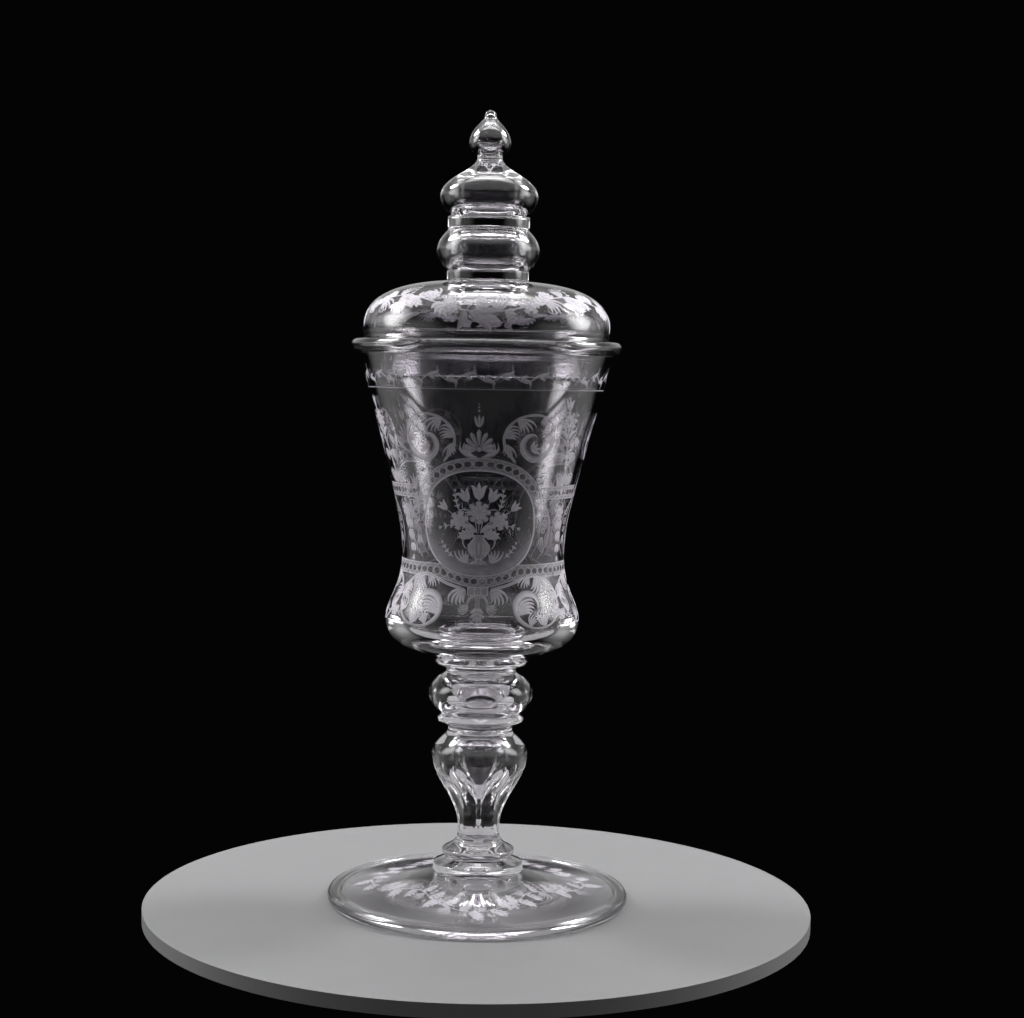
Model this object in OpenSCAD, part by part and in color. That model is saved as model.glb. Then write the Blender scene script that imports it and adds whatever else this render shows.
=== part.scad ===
// Pokal goblet with a domed cover, blown, fused and cut from clear glass.
// Millimetres, +Z up, the origin under the middle of the foot on the table.

/* [Foot] */
// Foot across its folded rim
foot_d = 136; // [116:1:156]
// Thickness of the folded rim
foot_rim_h = 5.6; // [5:0.1:7]
// Width of the fold
foot_fold_w = 6; // [5:0.25:9]
// Thickness of the sloping plate
foot_plate_t = 3; // [2.2:0.1:4]
// Height of the seat in the middle of the foot
foot_h = 13.6; // [11:0.1:18]
// Radius of the ground pontil hollow under the foot
pontil_r = 9; // [6:0.5:12]
// Depth of the pontil hollow
pontil_dip = 1.6; // [0.8:0.1:2]

/* [Foot collars] */
// Lower collar, radius of its band
low_collar_r = 20.5; // [18:0.1:24]
// Lower collar, height of its band
low_band_h = 4.4; // [3.5:0.1:5.4]
// Lower collar, height
low_collar_h = 6.2; // [5:0.1:9]
// Upper collar, radius of its lip
up_collar_r = 16.2; // [15.5:0.1:19]
// Upper collar, height of its lip
up_lip_h = 3.4; // [2.6:0.1:4.5]
// Upper collar, height
up_collar_h = 8.2; // [7:0.1:12]
// Radius at which the two foot collars are joined
collar_join_r = 14.6; // [12:0.1:15]

/* [Baluster] */
// Height of the baluster between its collars
baluster_h = 51.5; // [44:0.5:60]
// Radius at its foot
baluster_base_r = 10.3; // [9.6:0.1:12]
// Radius of the waist
baluster_waist_r = 9.5; // [8.5:0.1:11]
// Height of the waist above the base
baluster_waist_h = 6.7; // [4:0.1:10]
// Radius of the swelling
baluster_r = 21.5; // [19:0.1:25]
// Drop from the top to the swelling
baluster_swell_drop = 12.5; // [10:0.1:15]
// Radius of the neck under the knop
baluster_neck_r = 14.5; // [13:0.1:16]
// Height of the straight neck
baluster_neck_h = 1.2; // [0.6:0.1:2.5]
// Number of cut flutes
flutes = 6; // [5:1:8]
// Radius of the wheel that cuts a flute
flute_wheel_r = 37; // [30:0.5:46]
// Depth of a flute at the waist
flute_bite = 0.4; // [0.1:0.05:0.8]
// Radius of the air tear
tear_r = 12; // [5:0.1:13.5]
// Height of the air tear's tip above the base
tear_tip_h = 4.5; // [3:0.1:9]

/* [Knop] */
// Knop collar, radius of its lip
knop_collar_r = 19.4; // [18.5:0.1:23]
// Knop collar, height
knop_collar_h = 6; // [5:0.1:9]
// Knop, radius
knop_r = 23.5; // [21:0.1:28]
// Knop, height
knop_h = 18.5; // [17:0.1:24]
// Knop, radius where it sits on its collar
knop_low_r = 17.2; // [15:0.1:18]
// Knop, radius where it carries the bowl collar
knop_top_r = 15.6; // [14:0.1:18]
// Knop, radius of the flattened air bubble
knop_air_r = 15.6; // [8:0.1:17]
// Knop, height of that bubble
knop_air_h = 11.4; // [5:0.1:11.8]
// Knop, rise of that bubble above the widest line
knop_air_rise = 1.7; // [0:0.1:2.2]
// Bowl collar, radius of its lip
bowl_collar_r = 20.5; // [19.5:0.1:24]
// Bowl collar, height
bowl_collar_h = 7.4; // [6.5:0.1:10]
// Bowl collar, height of its neck
bowl_collar_neck_h = 2.2; // [1:0.1:3]

/* [Bowl] */
// Height of the bowl
bowl_h = 135.9; // [120:0.5:150]
// Radius where it sits on its collar
bowl_seat_r = 18; // [16.5:0.1:19]
// Radius of the bulb at the bottom
bowl_bulb_r = 43.4; // [40:0.1:48]
// Height of the bulb's widest line
bowl_bulb_h = 17.2; // [14:0.1:22]
// Radius of the waist
bowl_waist_r = 36.2; // [33:0.1:40]
// Height of the waist
bowl_waist_h = 46.6; // [40:0.1:54]
// Radius of the mouth
bowl_mouth_r = 56; // [52:0.1:60]
// Lean of the wall at the mouth, in degrees
bowl_lean = 12.4; // [9:0.1:15]
// Thickness of the wall
bowl_wall = 2.8; // [2:0.1:4]
// Thickness of the bottom
bowl_floor = 8.5; // [6:0.1:12]

/* [Cover] */
// Play between the rim of the bowl and the seat of the cover
seat_gap = 0.2; // [0.15:0.05:0.5]
// Height of the flange
flange_h = 5.3; // [4:0.1:7]
// Reach of the flange past the mouth
flange_reach = 4.2; // [3:0.1:6]
// Depth of the ring that drops into the bowl
insert_depth = 10.5; // [7:0.5:14]
// Play between that ring and the bowl
insert_play = 0.7; // [0.4:0.05:1.2]
// Thickness of the cover's wall
cover_wall = 2.6; // [2:0.1:3.6]
// Height of the dome above the flange
dome_h = 26.2; // [22:0.2:34]
// Height of the dome's widest line above the flange
dome_wide_h = 4.5; // [3:0.1:8]
// Set-back of the dome's widest line from the mouth
dome_inset = 0.9; // [0.3:0.1:3]
// Thickness of glass at the top of the dome
dome_top_t = 4; // [3:0.1:6]

/* [Finial] */
// Radius of the two plain collars
band_r = 18.2; // [17.8:0.1:20]
// Cover collar, height
cover_collar_h = 4.7; // [3.5:0.1:7]
// Cover knop, radius
cover_knop_r = 22.8; // [20:0.1:27]
// Cover knop, height
cover_knop_h = 18.3; // [15:0.1:24]
// Cover knop, radius where it sits on its collar
cover_knop_low_r = 17.4; // [15:0.1:17.6]
// Cover knop, radius of its air bubble
cover_air_r = 18.2; // [9:0.1:19]
// Cover knop, height of its air bubble
cover_air_h = 13.6; // [6:0.1:14]
// Finial collar, height
finial_collar_h = 5.6; // [4:0.1:8]
// Onion, radius
onion_r = 21.7; // [19:0.1:26]
// Onion, height
onion_h = 25.4; // [21:0.1:32]
// Onion, radius where it sits on its collar
onion_low_r = 16; // [14:0.1:17.5]
// Onion, height of its widest line
onion_wide_h = 8.9; // [7:0.1:11]
// Onion, radius of its air bubble
onion_air_r = 17.4; // [9:0.1:18]
// Onion, height of its air bubble
onion_air_h = 14.4; // [8:0.1:15]
// Radius of the neck of the finial
neck_r = 5.5; // [4.8:0.1:6.5]
// Height of the ring on the neck
neck_ring_h = 2; // [1.8:0.1:3]
// Ball, radius
ball_r = 9.15; // [8:0.05:11]
// Ball, height with its tip
ball_h = 19.5; // [17:0.1:24]
// Ball, height of its widest line
ball_wide_h = 5.1; // [4.2:0.1:6.5]
// Ball, radius of its air bubble
ball_air_r = 7.1; // [3.5:0.1:7.4]
// Radius of the rounded tip
tip_r = 2.6; // [2:0.1:3]

/* [Hidden] */
$fn = 96;
// Points along a short, a middling and a long curve
few = 4;
some = 8;
many = 16;
// Directions along an outline, in degrees
out = 0;
up = 90;
in = 180;
down = -90;
half_turn = 180;
// Radius of the blow hole that leads out of an air bubble
blow_r = 1.5;
// Rounding of cut and fire-polished edges, and of a collar's lip
edge_r = 0.8;
lip_r = 0.9;
// How far a lip is rounded above and below its middle, in degrees
lip_turn = 60;
// Width of the ring on which the foot stands, and step between its fold and its plate
stand_w = 1.8;
fold_step = 0.6;
// Lean of the foot's plate at its fold and at its seat
plate_low_lean = 171;
plate_high_lean = 162;
// Lean of the upper collar's slope at its lip and at its top
slope_low_lean = up + lip_turn;
slope_high_lean = 118;
// Lean of the baluster at its base, flank and shoulder, and how far out its shoulder turns
base_lean = 125;
flank_lean = 60;
shoulder_lean = 138;
shoulder_share = 0.28;
shoulder_drop = 4.5;
// Thread at the end of the air tear: its radius and length, and the tear's distance from the top
thread_r = 1.4;
thread_l = 11;
tear_drop = 7.5;
tear_belly_l = 6.5;
// Lean of a knop where it leaves its collar and where it meets the next one
knop_low_lean = 30;
knop_high_lean = 153;
cover_knop_low_lean = 33;
cover_knop_high_lean = 139;
onion_low_lean = 35;
onion_turn = 148;
onion_high_lean = 95;
ball_low_lean = 20;
ball_turn = 132;
// Where the rounding of the ball's tip sets in, and how its bubble closes to the blow hole
tip_turn = 15;
air_close_turn = -170;
// Height of a knop's widest line, in parts of its height
belly = 0.485;
// Place where the onion and the ball turn to a hollow curve, in parts of their radius and of the
// height above their widest line
onion_turn_r = 0.65;
onion_turn_h = 0.56;
ball_turn_r = 0.61;
ball_turn_h = 0.53;
// Lean of the bowl where it leaves its collar and where it turns in to the waist, and place of that turn
bowl_low_lean = 11;
bowl_turn = 113.7;
bowl_turn_share = 0.4;
// Lean of the dome at its foot and at its top, and set-back of its foot
dome_low_lean = 80;
dome_high_lean = 177;
dome_foot_inset = 0.5;
// How long the main curves keep their direction at both ends
bulb_pull = [1.4, 1.13];
flare_pull = [0.66, 0.9];
floor_pull = [1, 1.5];
dome_pull = [0.98, 1.67];
neck_pull = [0.7, 0.7];
tip_pull = [0.9, 0.9];
air_pull = [2, 1];

// Heights at which the pieces stand on each other
low_collar_z = foot_h;
up_collar_z = low_collar_z + low_collar_h;
baluster_z = up_collar_z + up_collar_h;
knop_collar_z = baluster_z + baluster_h;
knop_z = knop_collar_z + knop_collar_h;
bowl_collar_z = knop_z + knop_h;
bowl_z = bowl_collar_z + bowl_collar_h;
rim_z = bowl_z + bowl_h;
cover_z = rim_z + seat_gap;
dome_z = cover_z + flange_h;
cover_collar_z = dome_z + dome_h;
cover_knop_z = cover_collar_z + cover_collar_h;
finial_collar_z = cover_knop_z + cover_knop_h;
onion_z = finial_collar_z + finial_collar_h;
neck_ring_z = onion_z + onion_h;
ball_z = neck_ring_z + neck_ring_h;

// A smooth curve from p to q without p itself: it leaves p at angle a and comes to q at angle b.
// pull says how long it keeps each of these directions.
function bend(p, a, q, b, n = some, pull = [1, 1]) =
    let (d = norm(q - p), u = pull[0] * d * [cos(a), sin(a)], v = pull[1] * d * [cos(b), sin(b)])
    [for (i = [1:n])
        let (t = i / n)
        (2*t^3 - 3*t^2 + 1) * p + (t^3 - 2*t^2 + t) * u + (3*t^2 - 2*t^3) * q + (t^3 - t^2) * v];

// A round edge about c from angle a to angle b.
function arc(c, r, a, b, n = few) =
    [for (i = [0:n]) let (w = a + (b - a) * i / n) c + r * [cos(w), sin(w)]];

// A collar with a lip halfway up above its neck.
function lipped(z, base_r, neck_h, lip, top_r, h) =
    let (lip_z = z + (neck_h + h) / 2)
    concat(
        [[0, z], [base_r, z], [base_r, z + neck_h]],
        arc([lip - lip_r, lip_z], lip_r, -lip_turn, lip_turn),
        [[top_r, z + h], [0, z + h]]);

// A plain collar with two rounded edges.
function banded(z, r, h) = concat(
    [[0, z]],
    arc([r - edge_r, z + edge_r], edge_r, down, out),
    arc([r - edge_r, z + h - edge_r], edge_r, out, up),
    [[0, z + h]]);

// The wall of an air bubble of height h about mid_z, from its blow hole at out_z down to the axis.
function bubble(mid_z, r, h, out_z) = concat(
    [[blow_r, out_z], [blow_r, mid_z + h / 2]],
    bend([blow_r, mid_z + h / 2], out, [r, mid_z], down, many, air_pull),
    bend([r, mid_z], down, [0, mid_z - h / 2], in, many, [air_pull[1], air_pull[0]]));

module turned(outline) color("gainsboro") rotate_extrude() polygon(outline);

// Foot of one gather: a plate drawn up to a seat, its edge folded under, its pontil ground out.
module foot() {
    bead = foot_rim_h / 2;
    bead_r = foot_d / 2 - bead;
    fold_r = foot_d / 2 - foot_fold_w;
    plate = [fold_r - fold_step, foot_rim_h - fold_step];
    under = plate - [fold_step, foot_plate_t];
    roof_z = foot_h - foot_plate_t;
    pontil = [pontil_r, roof_z - pontil_dip / 2];
    turned(concat(
        [[bead_r - stand_w, 0]],
        arc([bead_r, bead], bead, down, up, some),
        [[fold_r, foot_rim_h], plate],
        bend(plate, plate_low_lean, [low_collar_r, foot_h], plate_high_lean),
        [[0, foot_h], [0, roof_z + pontil_dip / 2]],
        bend([0, roof_z + pontil_dip / 2], out, pontil, plate_high_lean - half_turn),
        bend(pontil, plate_high_lean - half_turn, under, plate_low_lean - half_turn)));
}

// Lower collar of the foot, a broad band with a sloping top.
module low_collar() {
    z = low_collar_z;
    turned(concat(
        [[0, z]],
        arc([low_collar_r - edge_r, z + edge_r], edge_r, down, out),
        arc([low_collar_r - lip_r - edge_r / 2, z + low_band_h - lip_r], lip_r, out, lip_turn),
        [[collar_join_r, z + low_collar_h], [0, z + low_collar_h]]));
}

// Upper collar of the foot, a lip under a hollow slope that runs up to the baluster.
module up_collar() {
    z = up_collar_z;
    top = [baluster_base_r, z + up_collar_h];
    lip = [up_collar_r - lip_r, z + up_lip_h];
    lip_top = lip + lip_r * [cos(lip_turn), sin(lip_turn)];
    turned(concat(
        [[0, z], [collar_join_r, z]],
        arc(lip - [0, lip_r], lip_r, -lip_turn, out),
        arc(lip, lip_r, out, lip_turn),
        bend(lip_top, slope_low_lean, top, slope_high_lean),
        [[0, top[1]]]));
}

// Baluster of the stem: a thick swelling round an air tear, with flutes cut into its lower half.
module baluster() {
    z = baluster_z;
    top_z = z + baluster_h;
    base = [baluster_base_r, z];
    waist = [baluster_waist_r, z + baluster_waist_h];
    swell = [baluster_r, top_z - baluster_swell_drop];
    flank = (waist + swell) / 2;
    neck = [baluster_neck_r, top_z - baluster_neck_h];
    shoulder = [neck[0] + shoulder_share * (swell[0] - neck[0]), top_z - shoulder_drop];
    tear_z = top_z - tear_drop;
    tear_tip = [0, z + tear_tip_h];
    thread = [thread_r, tear_tip[1] + thread_l];
    tear = [tear_r, tear_z - tear_belly_l];
    wheel_x = baluster_waist_r + flute_wheel_r - flute_bite;
    difference() {
        turned(concat(
            [[0, z], base],
            bend(base, base_lean, waist, up, few),
            bend(waist, up, flank, flank_lean),
            bend(flank, flank_lean, swell, up),
            bend(swell, up, shoulder, shoulder_lean),
            bend(shoulder, shoulder_lean, neck, up, few),
            [[neck[0], top_z], [blow_r, top_z], [blow_r, tear_z]],
            bend([blow_r, tear_z], out, tear, down),
            bend(tear, down, thread, down),
            [tear_tip]));
        for (i = [0:flutes - 1])
            rotate([0, 0, 360 * i / flutes - 90])
                translate([wheel_x, 0, waist[1]])
                    sphere(r = flute_wheel_r);
    }
}

// Collar between baluster and knop.
module knop_collar()
    turned(lipped(knop_collar_z, baluster_neck_r, edge_r, knop_collar_r, knop_low_r, knop_collar_h));

// Flattened knop round an air bubble.
module knop() {
    z = knop_z;
    top_z = z + knop_h;
    low = [knop_low_r, z];
    mid = [knop_r, z + knop_h * belly];
    turned(concat(
        [[0, z], low],
        bend(low, knop_low_lean, mid, up),
        bend(mid, up, [knop_top_r, top_z], knop_high_lean),
        bubble(mid[1] + knop_air_rise, knop_air_r, knop_air_h, top_z)));
}

// Collar on which the bowl stands.
module bowl_collar()
    turned(lipped(bowl_collar_z, knop_top_r, bowl_collar_neck_h, bowl_collar_r, bowl_seat_r,
        bowl_collar_h));

// Bowl: a bulb, a drawn-in waist and a flaring wall up to a fire-polished rim.
module bowl() {
    z = bowl_z;
    wall = [bowl_wall, 0];
    seat = [bowl_seat_r, z];
    bulb = [bowl_bulb_r, z + bowl_bulb_h];
    waist = [bowl_waist_r, z + bowl_waist_h];
    turn = [(bulb[0] + waist[0]) / 2, bulb[1] + bowl_turn_share * (waist[1] - bulb[1])];
    lip = [bowl_mouth_r, rim_z - edge_r];
    rise = up - bowl_lean;
    sunk = bulb + [-bowl_wall, bowl_wall];
    turned(concat(
        [[0, z], seat],
        bend(seat, bowl_low_lean, bulb, up, many, bulb_pull),
        bend(bulb, up, turn, bowl_turn),
        bend(turn, bowl_turn, waist, up),
        bend(waist, up, lip, rise, many, flare_pull),
        arc(lip - [edge_r, 0], edge_r, out, up),
        arc(lip - wall + [edge_r, 0], edge_r, up, in),
        bend(lip - wall, rise - half_turn, waist - wall, down, many, [flare_pull[1], flare_pull[0]]),
        bend(waist - wall, down, turn - wall, bowl_turn - half_turn),
        bend(turn - wall, bowl_turn - half_turn, sunk, down),
        bend(sunk, down, [0, z + bowl_floor], in, many, floor_pull)));
}

// Cover of one gather: the ring that drops into the bowl, the flange, and a full low dome.
module cover() {
    ring_r = bowl_mouth_r - bowl_wall - insert_play - insert_depth * tan(bowl_lean);
    ring_z = cover_z - insert_depth;
    bead = flange_h / 2;
    flange = [bowl_mouth_r + flange_reach - bead, cover_z + bead];
    wide = [bowl_mouth_r - dome_inset, dome_z + dome_wide_h];
    dome_foot = [wide[0] - dome_foot_inset, dome_z];
    top = [band_r, cover_collar_z];
    in_ring = ring_r - cover_wall;
    in_wide = wide - [cover_wall, 0];
    in_top = [band_r, cover_collar_z - dome_top_t];
    turned(concat(
        arc([ring_r - edge_r, ring_z + edge_r], edge_r, down, out),
        [[ring_r, cover_z]],
        arc(flange, bead, down, up, some),
        [dome_foot],
        bend(dome_foot, dome_low_lean, wide, up, few),
        bend(wide, up, top, dome_high_lean, many, dome_pull),
        [[0, top[1]], [0, in_top[1]], in_top],
        bend(in_top, dome_high_lean - half_turn, in_wide, down, many, [dome_pull[1], dome_pull[0]]),
        bend(in_wide, down, [in_ring, cover_z], down, few),
        arc([in_ring + edge_r, ring_z + edge_r], edge_r, in, in + up)));
}

// Collar between the dome and the cover's knop.
module cover_collar()
    turned(banded(cover_collar_z, band_r, cover_collar_h));

// Flattened knop of the cover round an air bubble.
module cover_knop() {
    z = cover_knop_z;
    top_z = z + cover_knop_h;
    low = [cover_knop_low_r, z];
    mid = [cover_knop_r, z + cover_knop_h * belly];
    turned(concat(
        [[0, z], low],
        bend(low, cover_knop_low_lean, mid, up),
        bend(mid, up, [band_r - edge_r, top_z], cover_knop_high_lean),
        bubble(mid[1], cover_air_r, cover_air_h, top_z)));
}

// Collar between the cover's knop and the onion.
module finial_collar()
    turned(banded(finial_collar_z, band_r, finial_collar_h));

// Onion of the finial, drawn up to a thin neck round an air bubble.
module onion() {
    z = onion_z;
    top_z = z + onion_h;
    low = [onion_low_r, z];
    wide = [onion_r, z + onion_wide_h];
    turn = [onion_r * onion_turn_r, wide[1] + onion_turn_h * (top_z - wide[1])];
    turned(concat(
        [[0, z], low],
        bend(low, onion_low_lean, wide, up),
        bend(wide, up, turn, onion_turn),
        bend(turn, onion_turn, [neck_r, top_z], onion_high_lean, some, neck_pull),
        bubble(wide[1] + edge_r, onion_air_r, onion_air_h, top_z)));
}

// Small ring between onion and ball.
module neck_ring()
    turned(banded(neck_ring_z, neck_r, neck_ring_h));

// Ball of the finial, drawn to a rounded tip round an air bubble.
module ball() {
    z = ball_z;
    low = [neck_r, z];
    wide = [ball_r, z + ball_wide_h];
    tip = [0, z + ball_h - tip_r];
    turn = [ball_r * ball_turn_r, wide[1] + ball_turn_h * (z + ball_h - wide[1])];
    air = [ball_air_r, wide[1] + edge_r];
    turned(concat(
        [[blow_r, z], low],
        bend(low, ball_low_lean, wide, up),
        bend(wide, up, turn, ball_turn),
        bend(turn, ball_turn, tip + [tip_r, 0], up, some, tip_pull),
        arc(tip, tip_r, tip_turn, up),
        [air + [-ball_air_r, ball_air_r]],
        bend(air + [-ball_air_r, ball_air_r], out, air, down),
        bend(air, down, [blow_r, z + edge_r + lip_r], air_close_turn, few)));
}

foot();
low_collar();
up_collar();
baluster();
knop_collar();
knop();
bowl_collar();
bowl();
cover();
cover_collar();
cover_knop();
finial_collar();
onion();
neck_ring();
ball();
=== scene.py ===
"""Looks of a covered goblet of clear glass with wheel-engraved ornament, round its packed solids."""

import cmath
import math

import bpy
import numpy as np
from mathutils import Matrix, Vector


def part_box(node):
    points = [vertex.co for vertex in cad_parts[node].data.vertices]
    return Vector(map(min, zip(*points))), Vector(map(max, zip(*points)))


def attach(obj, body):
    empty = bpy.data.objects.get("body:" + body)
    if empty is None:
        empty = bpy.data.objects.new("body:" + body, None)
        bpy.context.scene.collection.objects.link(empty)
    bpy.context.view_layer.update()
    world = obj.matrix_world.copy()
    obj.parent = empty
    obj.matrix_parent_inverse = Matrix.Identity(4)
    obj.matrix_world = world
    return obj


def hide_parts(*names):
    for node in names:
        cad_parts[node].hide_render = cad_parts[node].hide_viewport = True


bl_info = {
    "name": "Pokal Goblet",
    "version": (1, 0, 0),
    "blender": (4, 5, 0),
    "location": "3D View > Sidebar > Goblet",
    "description": "Models a covered, wheel-engraved glass goblet on its packed solids",
    "category": "Add Mesh",
}

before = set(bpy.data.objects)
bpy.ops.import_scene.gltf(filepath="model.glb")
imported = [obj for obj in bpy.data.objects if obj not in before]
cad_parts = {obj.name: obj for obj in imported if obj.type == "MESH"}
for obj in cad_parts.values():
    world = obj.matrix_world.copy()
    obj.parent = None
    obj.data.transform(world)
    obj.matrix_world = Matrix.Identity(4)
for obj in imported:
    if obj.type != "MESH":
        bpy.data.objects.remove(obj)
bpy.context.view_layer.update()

MM = 0.001
TURN = 2 * math.pi
OUT, UP, IN, DOWN = 0, 90, 180, -90
SIDES = 144
FEW, SOME, MANY = 8, 16, 40
GOBLET, LID = "goblet", "lid"

# Rounding of cut edges, of collars' lips and of other corners, and how far a lip is rounded, in degrees.
EDGE_R, LIP_R, SOFT_R = 0.8 * MM, 0.9 * MM, 0.35 * MM
LIP_TURN = 60
# Faces that meet more sharply than this keep their edge, and sharper corners of an outline are rounded.
CREASE, CORNER = math.radians(32), math.radians(14)
# Height of a knop's widest line, in parts of its height.
BELLY = 0.485
# Lean of the bowl's wall at its mouth, in degrees from upright.
BOWL_LEAN = 12.4
# Lean of the dome at its top, in degrees, and how long its curve keeps its direction at both ends.
DOME_LEAN = 177
DOME_PULL = 0.98, 1.67
# Height of the lowest cut over the glass and the step up to the next one, in mm, and after how many cuts
# it starts again.
CUT_LIFT, CUT_STEP, CUT_LAYERS = 0.03, 0.0006, 60
# How far behind the axis the bowl's design starts to fade, in parts of the radius, and how much of its
# tone is left at the back: painted shade, the far side's cuts made fainter to stand in for the dimmer
# look they have through the glass.
SHADE_FROM, BACK_SHADE = 0.4, 0.15
# Power of a lamp for each square metre of its face, at which the middle of the face is white.
WHITE_POWER = 4
# The floor: a disc of this radius and thickness, in metres.
FLOOR_R, FLOOR_T = 0.15, 0.006
# The camera: its place in metres, its yaw, its pitch down and its roll in degrees, its focal length and the
# width of the picture in pixels, and the width of its sensor in mm.
CAMERA_AT = 0, -0.88, 0.2387
CAMERA_YAW, CAMERA_PITCH, CAMERA_ROLL = -0.82, 3.957, 1.05
FOCAL_PX, WIDTH_PX = 1966, 1024
SENSOR_W = 36


def size(name, description, value):
    """A length that a user may change, given in millimetres."""
    return bpy.props.FloatProperty(name=name, description=description, default=value * MM, min=0,
                                   precision=5, unit="LENGTH")


def share(name, description, value, top):
    """A number between nothing and top."""
    return bpy.props.FloatProperty(name=name, description=description, default=value, min=0, max=top)


def count(name, description, value):
    """A whole number of like things."""
    return bpy.props.IntProperty(name=name, description=description, default=value, min=1)


def colour(name, description, value):
    """A colour of a finish or of a light."""
    return bpy.props.FloatVectorProperty(name=name, description=description, default=value, size=3,
                                         min=0, max=1, subtype="COLOR")


class FootSizes(bpy.types.PropertyGroup):
    """Sizes of the foot and its two collars."""

    rim_h: size("Rim", "Thickness of the folded rim", 5.6)
    fold_w: size("Fold", "Width of the fold", 6)
    plate_t: size("Plate", "Thickness of the sloping plate", 3)
    pontil_r: size("Pontil", "Radius of the ground hollow under the foot", 9)
    pontil_dip: size("Pontil depth", "Depth of the ground hollow", 1.6)
    stand_w: size("Stand", "Width of the ring on which the foot stands", 1.8)
    band_h: size("Lower band", "Height of the lower collar's band", 4.4)
    lip_h: size("Upper lip", "Height of the upper collar's lip", 3.4)
    join_r: size("Joint", "Radius at which the two collars are joined", 14.6)


class StemSizes(bpy.types.PropertyGroup):
    """Sizes of the baluster, the knop and their collars."""

    base_r: size("Base", "Radius of the baluster at its foot", 10.3)
    waist_r: size("Waist", "Radius of the baluster's waist", 9.5)
    waist_h: size("Waist height", "Height of the waist above the base", 6.7)
    swell_drop: size("Swelling", "Drop from the baluster's top to its swelling", 12.5)
    neck_r: size("Neck", "Radius of the neck under the knop", 14.5)
    neck_h: size("Neck height", "Height of the straight neck", 1.2)
    flutes: count("Flutes", "Number of flutes cut into the baluster", 6)
    wheel_r: size("Wheel", "Radius of the wheel that cuts a flute", 37)
    bite: size("Bite", "Depth of a flute at the waist", 0.4)
    tear_r: size("Tear", "Radius of the air tear", 12)
    tear_tip_h: size("Tear tip", "Height of the air tear's tip above the base", 4.5)
    knop_low_r: size("Knop foot", "Radius of the knop on its collar", 17.2)
    knop_top_r: size("Knop top", "Radius of the knop under the bowl's collar", 15.6)
    knop_air_r: size("Knop air", "Radius of the knop's air bubble", 15.6)
    knop_air_h: size("Knop air height", "Height of the knop's air bubble", 11.4)
    knop_air_rise: size("Knop air rise", "Rise of that bubble above the knop's widest line", 1.7)
    bowl_neck_h: size("Collar neck", "Height of the neck of the bowl's collar", 2.2)


class BowlSizes(bpy.types.PropertyGroup):
    """Sizes of the bowl."""

    seat_r: size("Seat", "Radius of the bowl on its collar", 18)
    bulb_r: size("Bulb", "Radius of the bulb at the bottom", 43.4)
    bulb_h: size("Bulb height", "Height of the bulb's widest line", 17.2)
    waist_r: size("Waist", "Radius of the waist", 36.2)
    waist_h: size("Waist height", "Height of the waist", 46.6)
    mouth_r: size("Mouth", "Radius of the mouth", 56)
    wall: size("Wall", "Thickness of the wall", 2.8)
    floor: size("Bottom", "Thickness of the bottom", 8.5)


class CoverSizes(bpy.types.PropertyGroup):
    """Sizes of the cover and its finial."""

    flange_h: size("Flange", "Height of the flange", 5.3)
    insert_depth: size("Insert", "Depth of the ring that drops into the bowl", 10.5)
    insert_play: size("Play", "Play between that ring and the bowl", 0.7)
    wall: size("Wall", "Thickness of the cover's wall", 2.6)
    wide_h: size("Dome", "Height of the dome's widest line above the flange", 4.5)
    inset: size("Set-back", "Set-back of the dome from the mouth", 0.9)
    top_t: size("Top", "Thickness of glass at the dome's top", 4)
    band_r: size("Collars", "Radius of the two plain collars", 18.2)
    knop_air_r: size("Knop air", "Radius of the cover knop's air bubble", 18.2)
    knop_air_h: size("Knop air height", "Height of that bubble", 13.6)
    onion_low_r: size("Onion foot", "Radius of the onion on its collar", 16)
    onion_wide_h: size("Onion", "Height of the onion's widest line", 8.9)
    onion_air_r: size("Onion air", "Radius of the onion's air bubble", 17.4)
    onion_air_h: size("Onion air height", "Height of the onion's air bubble", 14.4)
    neck_r: size("Neck", "Radius of the finial's neck", 5.5)
    ball_wide_h: size("Ball", "Height of the ball's widest line", 5.1)
    ball_air_r: size("Ball air", "Radius of the ball's air bubble", 7.1)
    tip_r: size("Tip", "Radius of the rounded tip", 2.6)
    tip_air_r: size("Tip air", "Radius of the small bubble in the tip", 1.6)


class Finishes(bpy.types.PropertyGroup):
    """Colours of the glass, of its engraving and of the floor."""

    glass: colour("Glass", "Tint of the clear glass", (0.965, 0.948, 0.976))
    frost: colour("Engraving", "Colour of the matt engraving", (0.82, 0.777, 0.853))
    floor: colour("Floor", "Colour of the pale floor", (0.22, 0.22, 0.225))
    bend_index: share("Bending", "Index of refraction of the glass", 1.5, 3.0)


class StageLight(bpy.types.PropertyGroup):
    """Strength of the studio light, where 1 on a lamp's face is white."""

    sides: share("Sides", "Brightness of the two soft boxes at the middle of their faces", 50, 100)
    screens: share("Screens", "Brightness of the two dim screens beside them", 6.0, 20)
    above: share("Above", "Brightness of the soft box above", 6, 20)
    around: share("Around", "Even light from all round", 0.1, 20)
    walls: share("Walls", "Brightness of the room's side walls in the glass", 0.9, 20)
    ceiling: share("Ceiling", "Brightness of the room's ceiling in the glass", 1.2, 20)
    dark: share("Backdrop", "Brightness of the dark backdrop", 0.0012, 1)


GROUPS = (("goblet_foot", FootSizes), ("goblet_stem", StemSizes), ("goblet_bowl", BowlSizes),
          ("goblet_cover", CoverSizes), ("goblet_finishes", Finishes), ("goblet_stage", StageLight))


def settings(group):
    """The values of one property group of the scene."""
    return getattr(bpy.context.scene, "goblet_" + group)


BOXES = {node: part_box(node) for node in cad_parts}


def low(node):
    """Height at which a CAD node starts."""
    return BOXES[node][0].z


def top(node):
    """Height at which a CAD node ends."""
    return BOXES[node][1].z


def span(node):
    """Heights between which a CAD node stands."""
    return low(node), top(node)


def reach(node):
    """Largest radius of a CAD node."""
    return min(BOXES[node][1].xy)


def at(r, z):
    """A point of an outline: its radius and its height."""
    return Vector((r, z))


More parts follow.
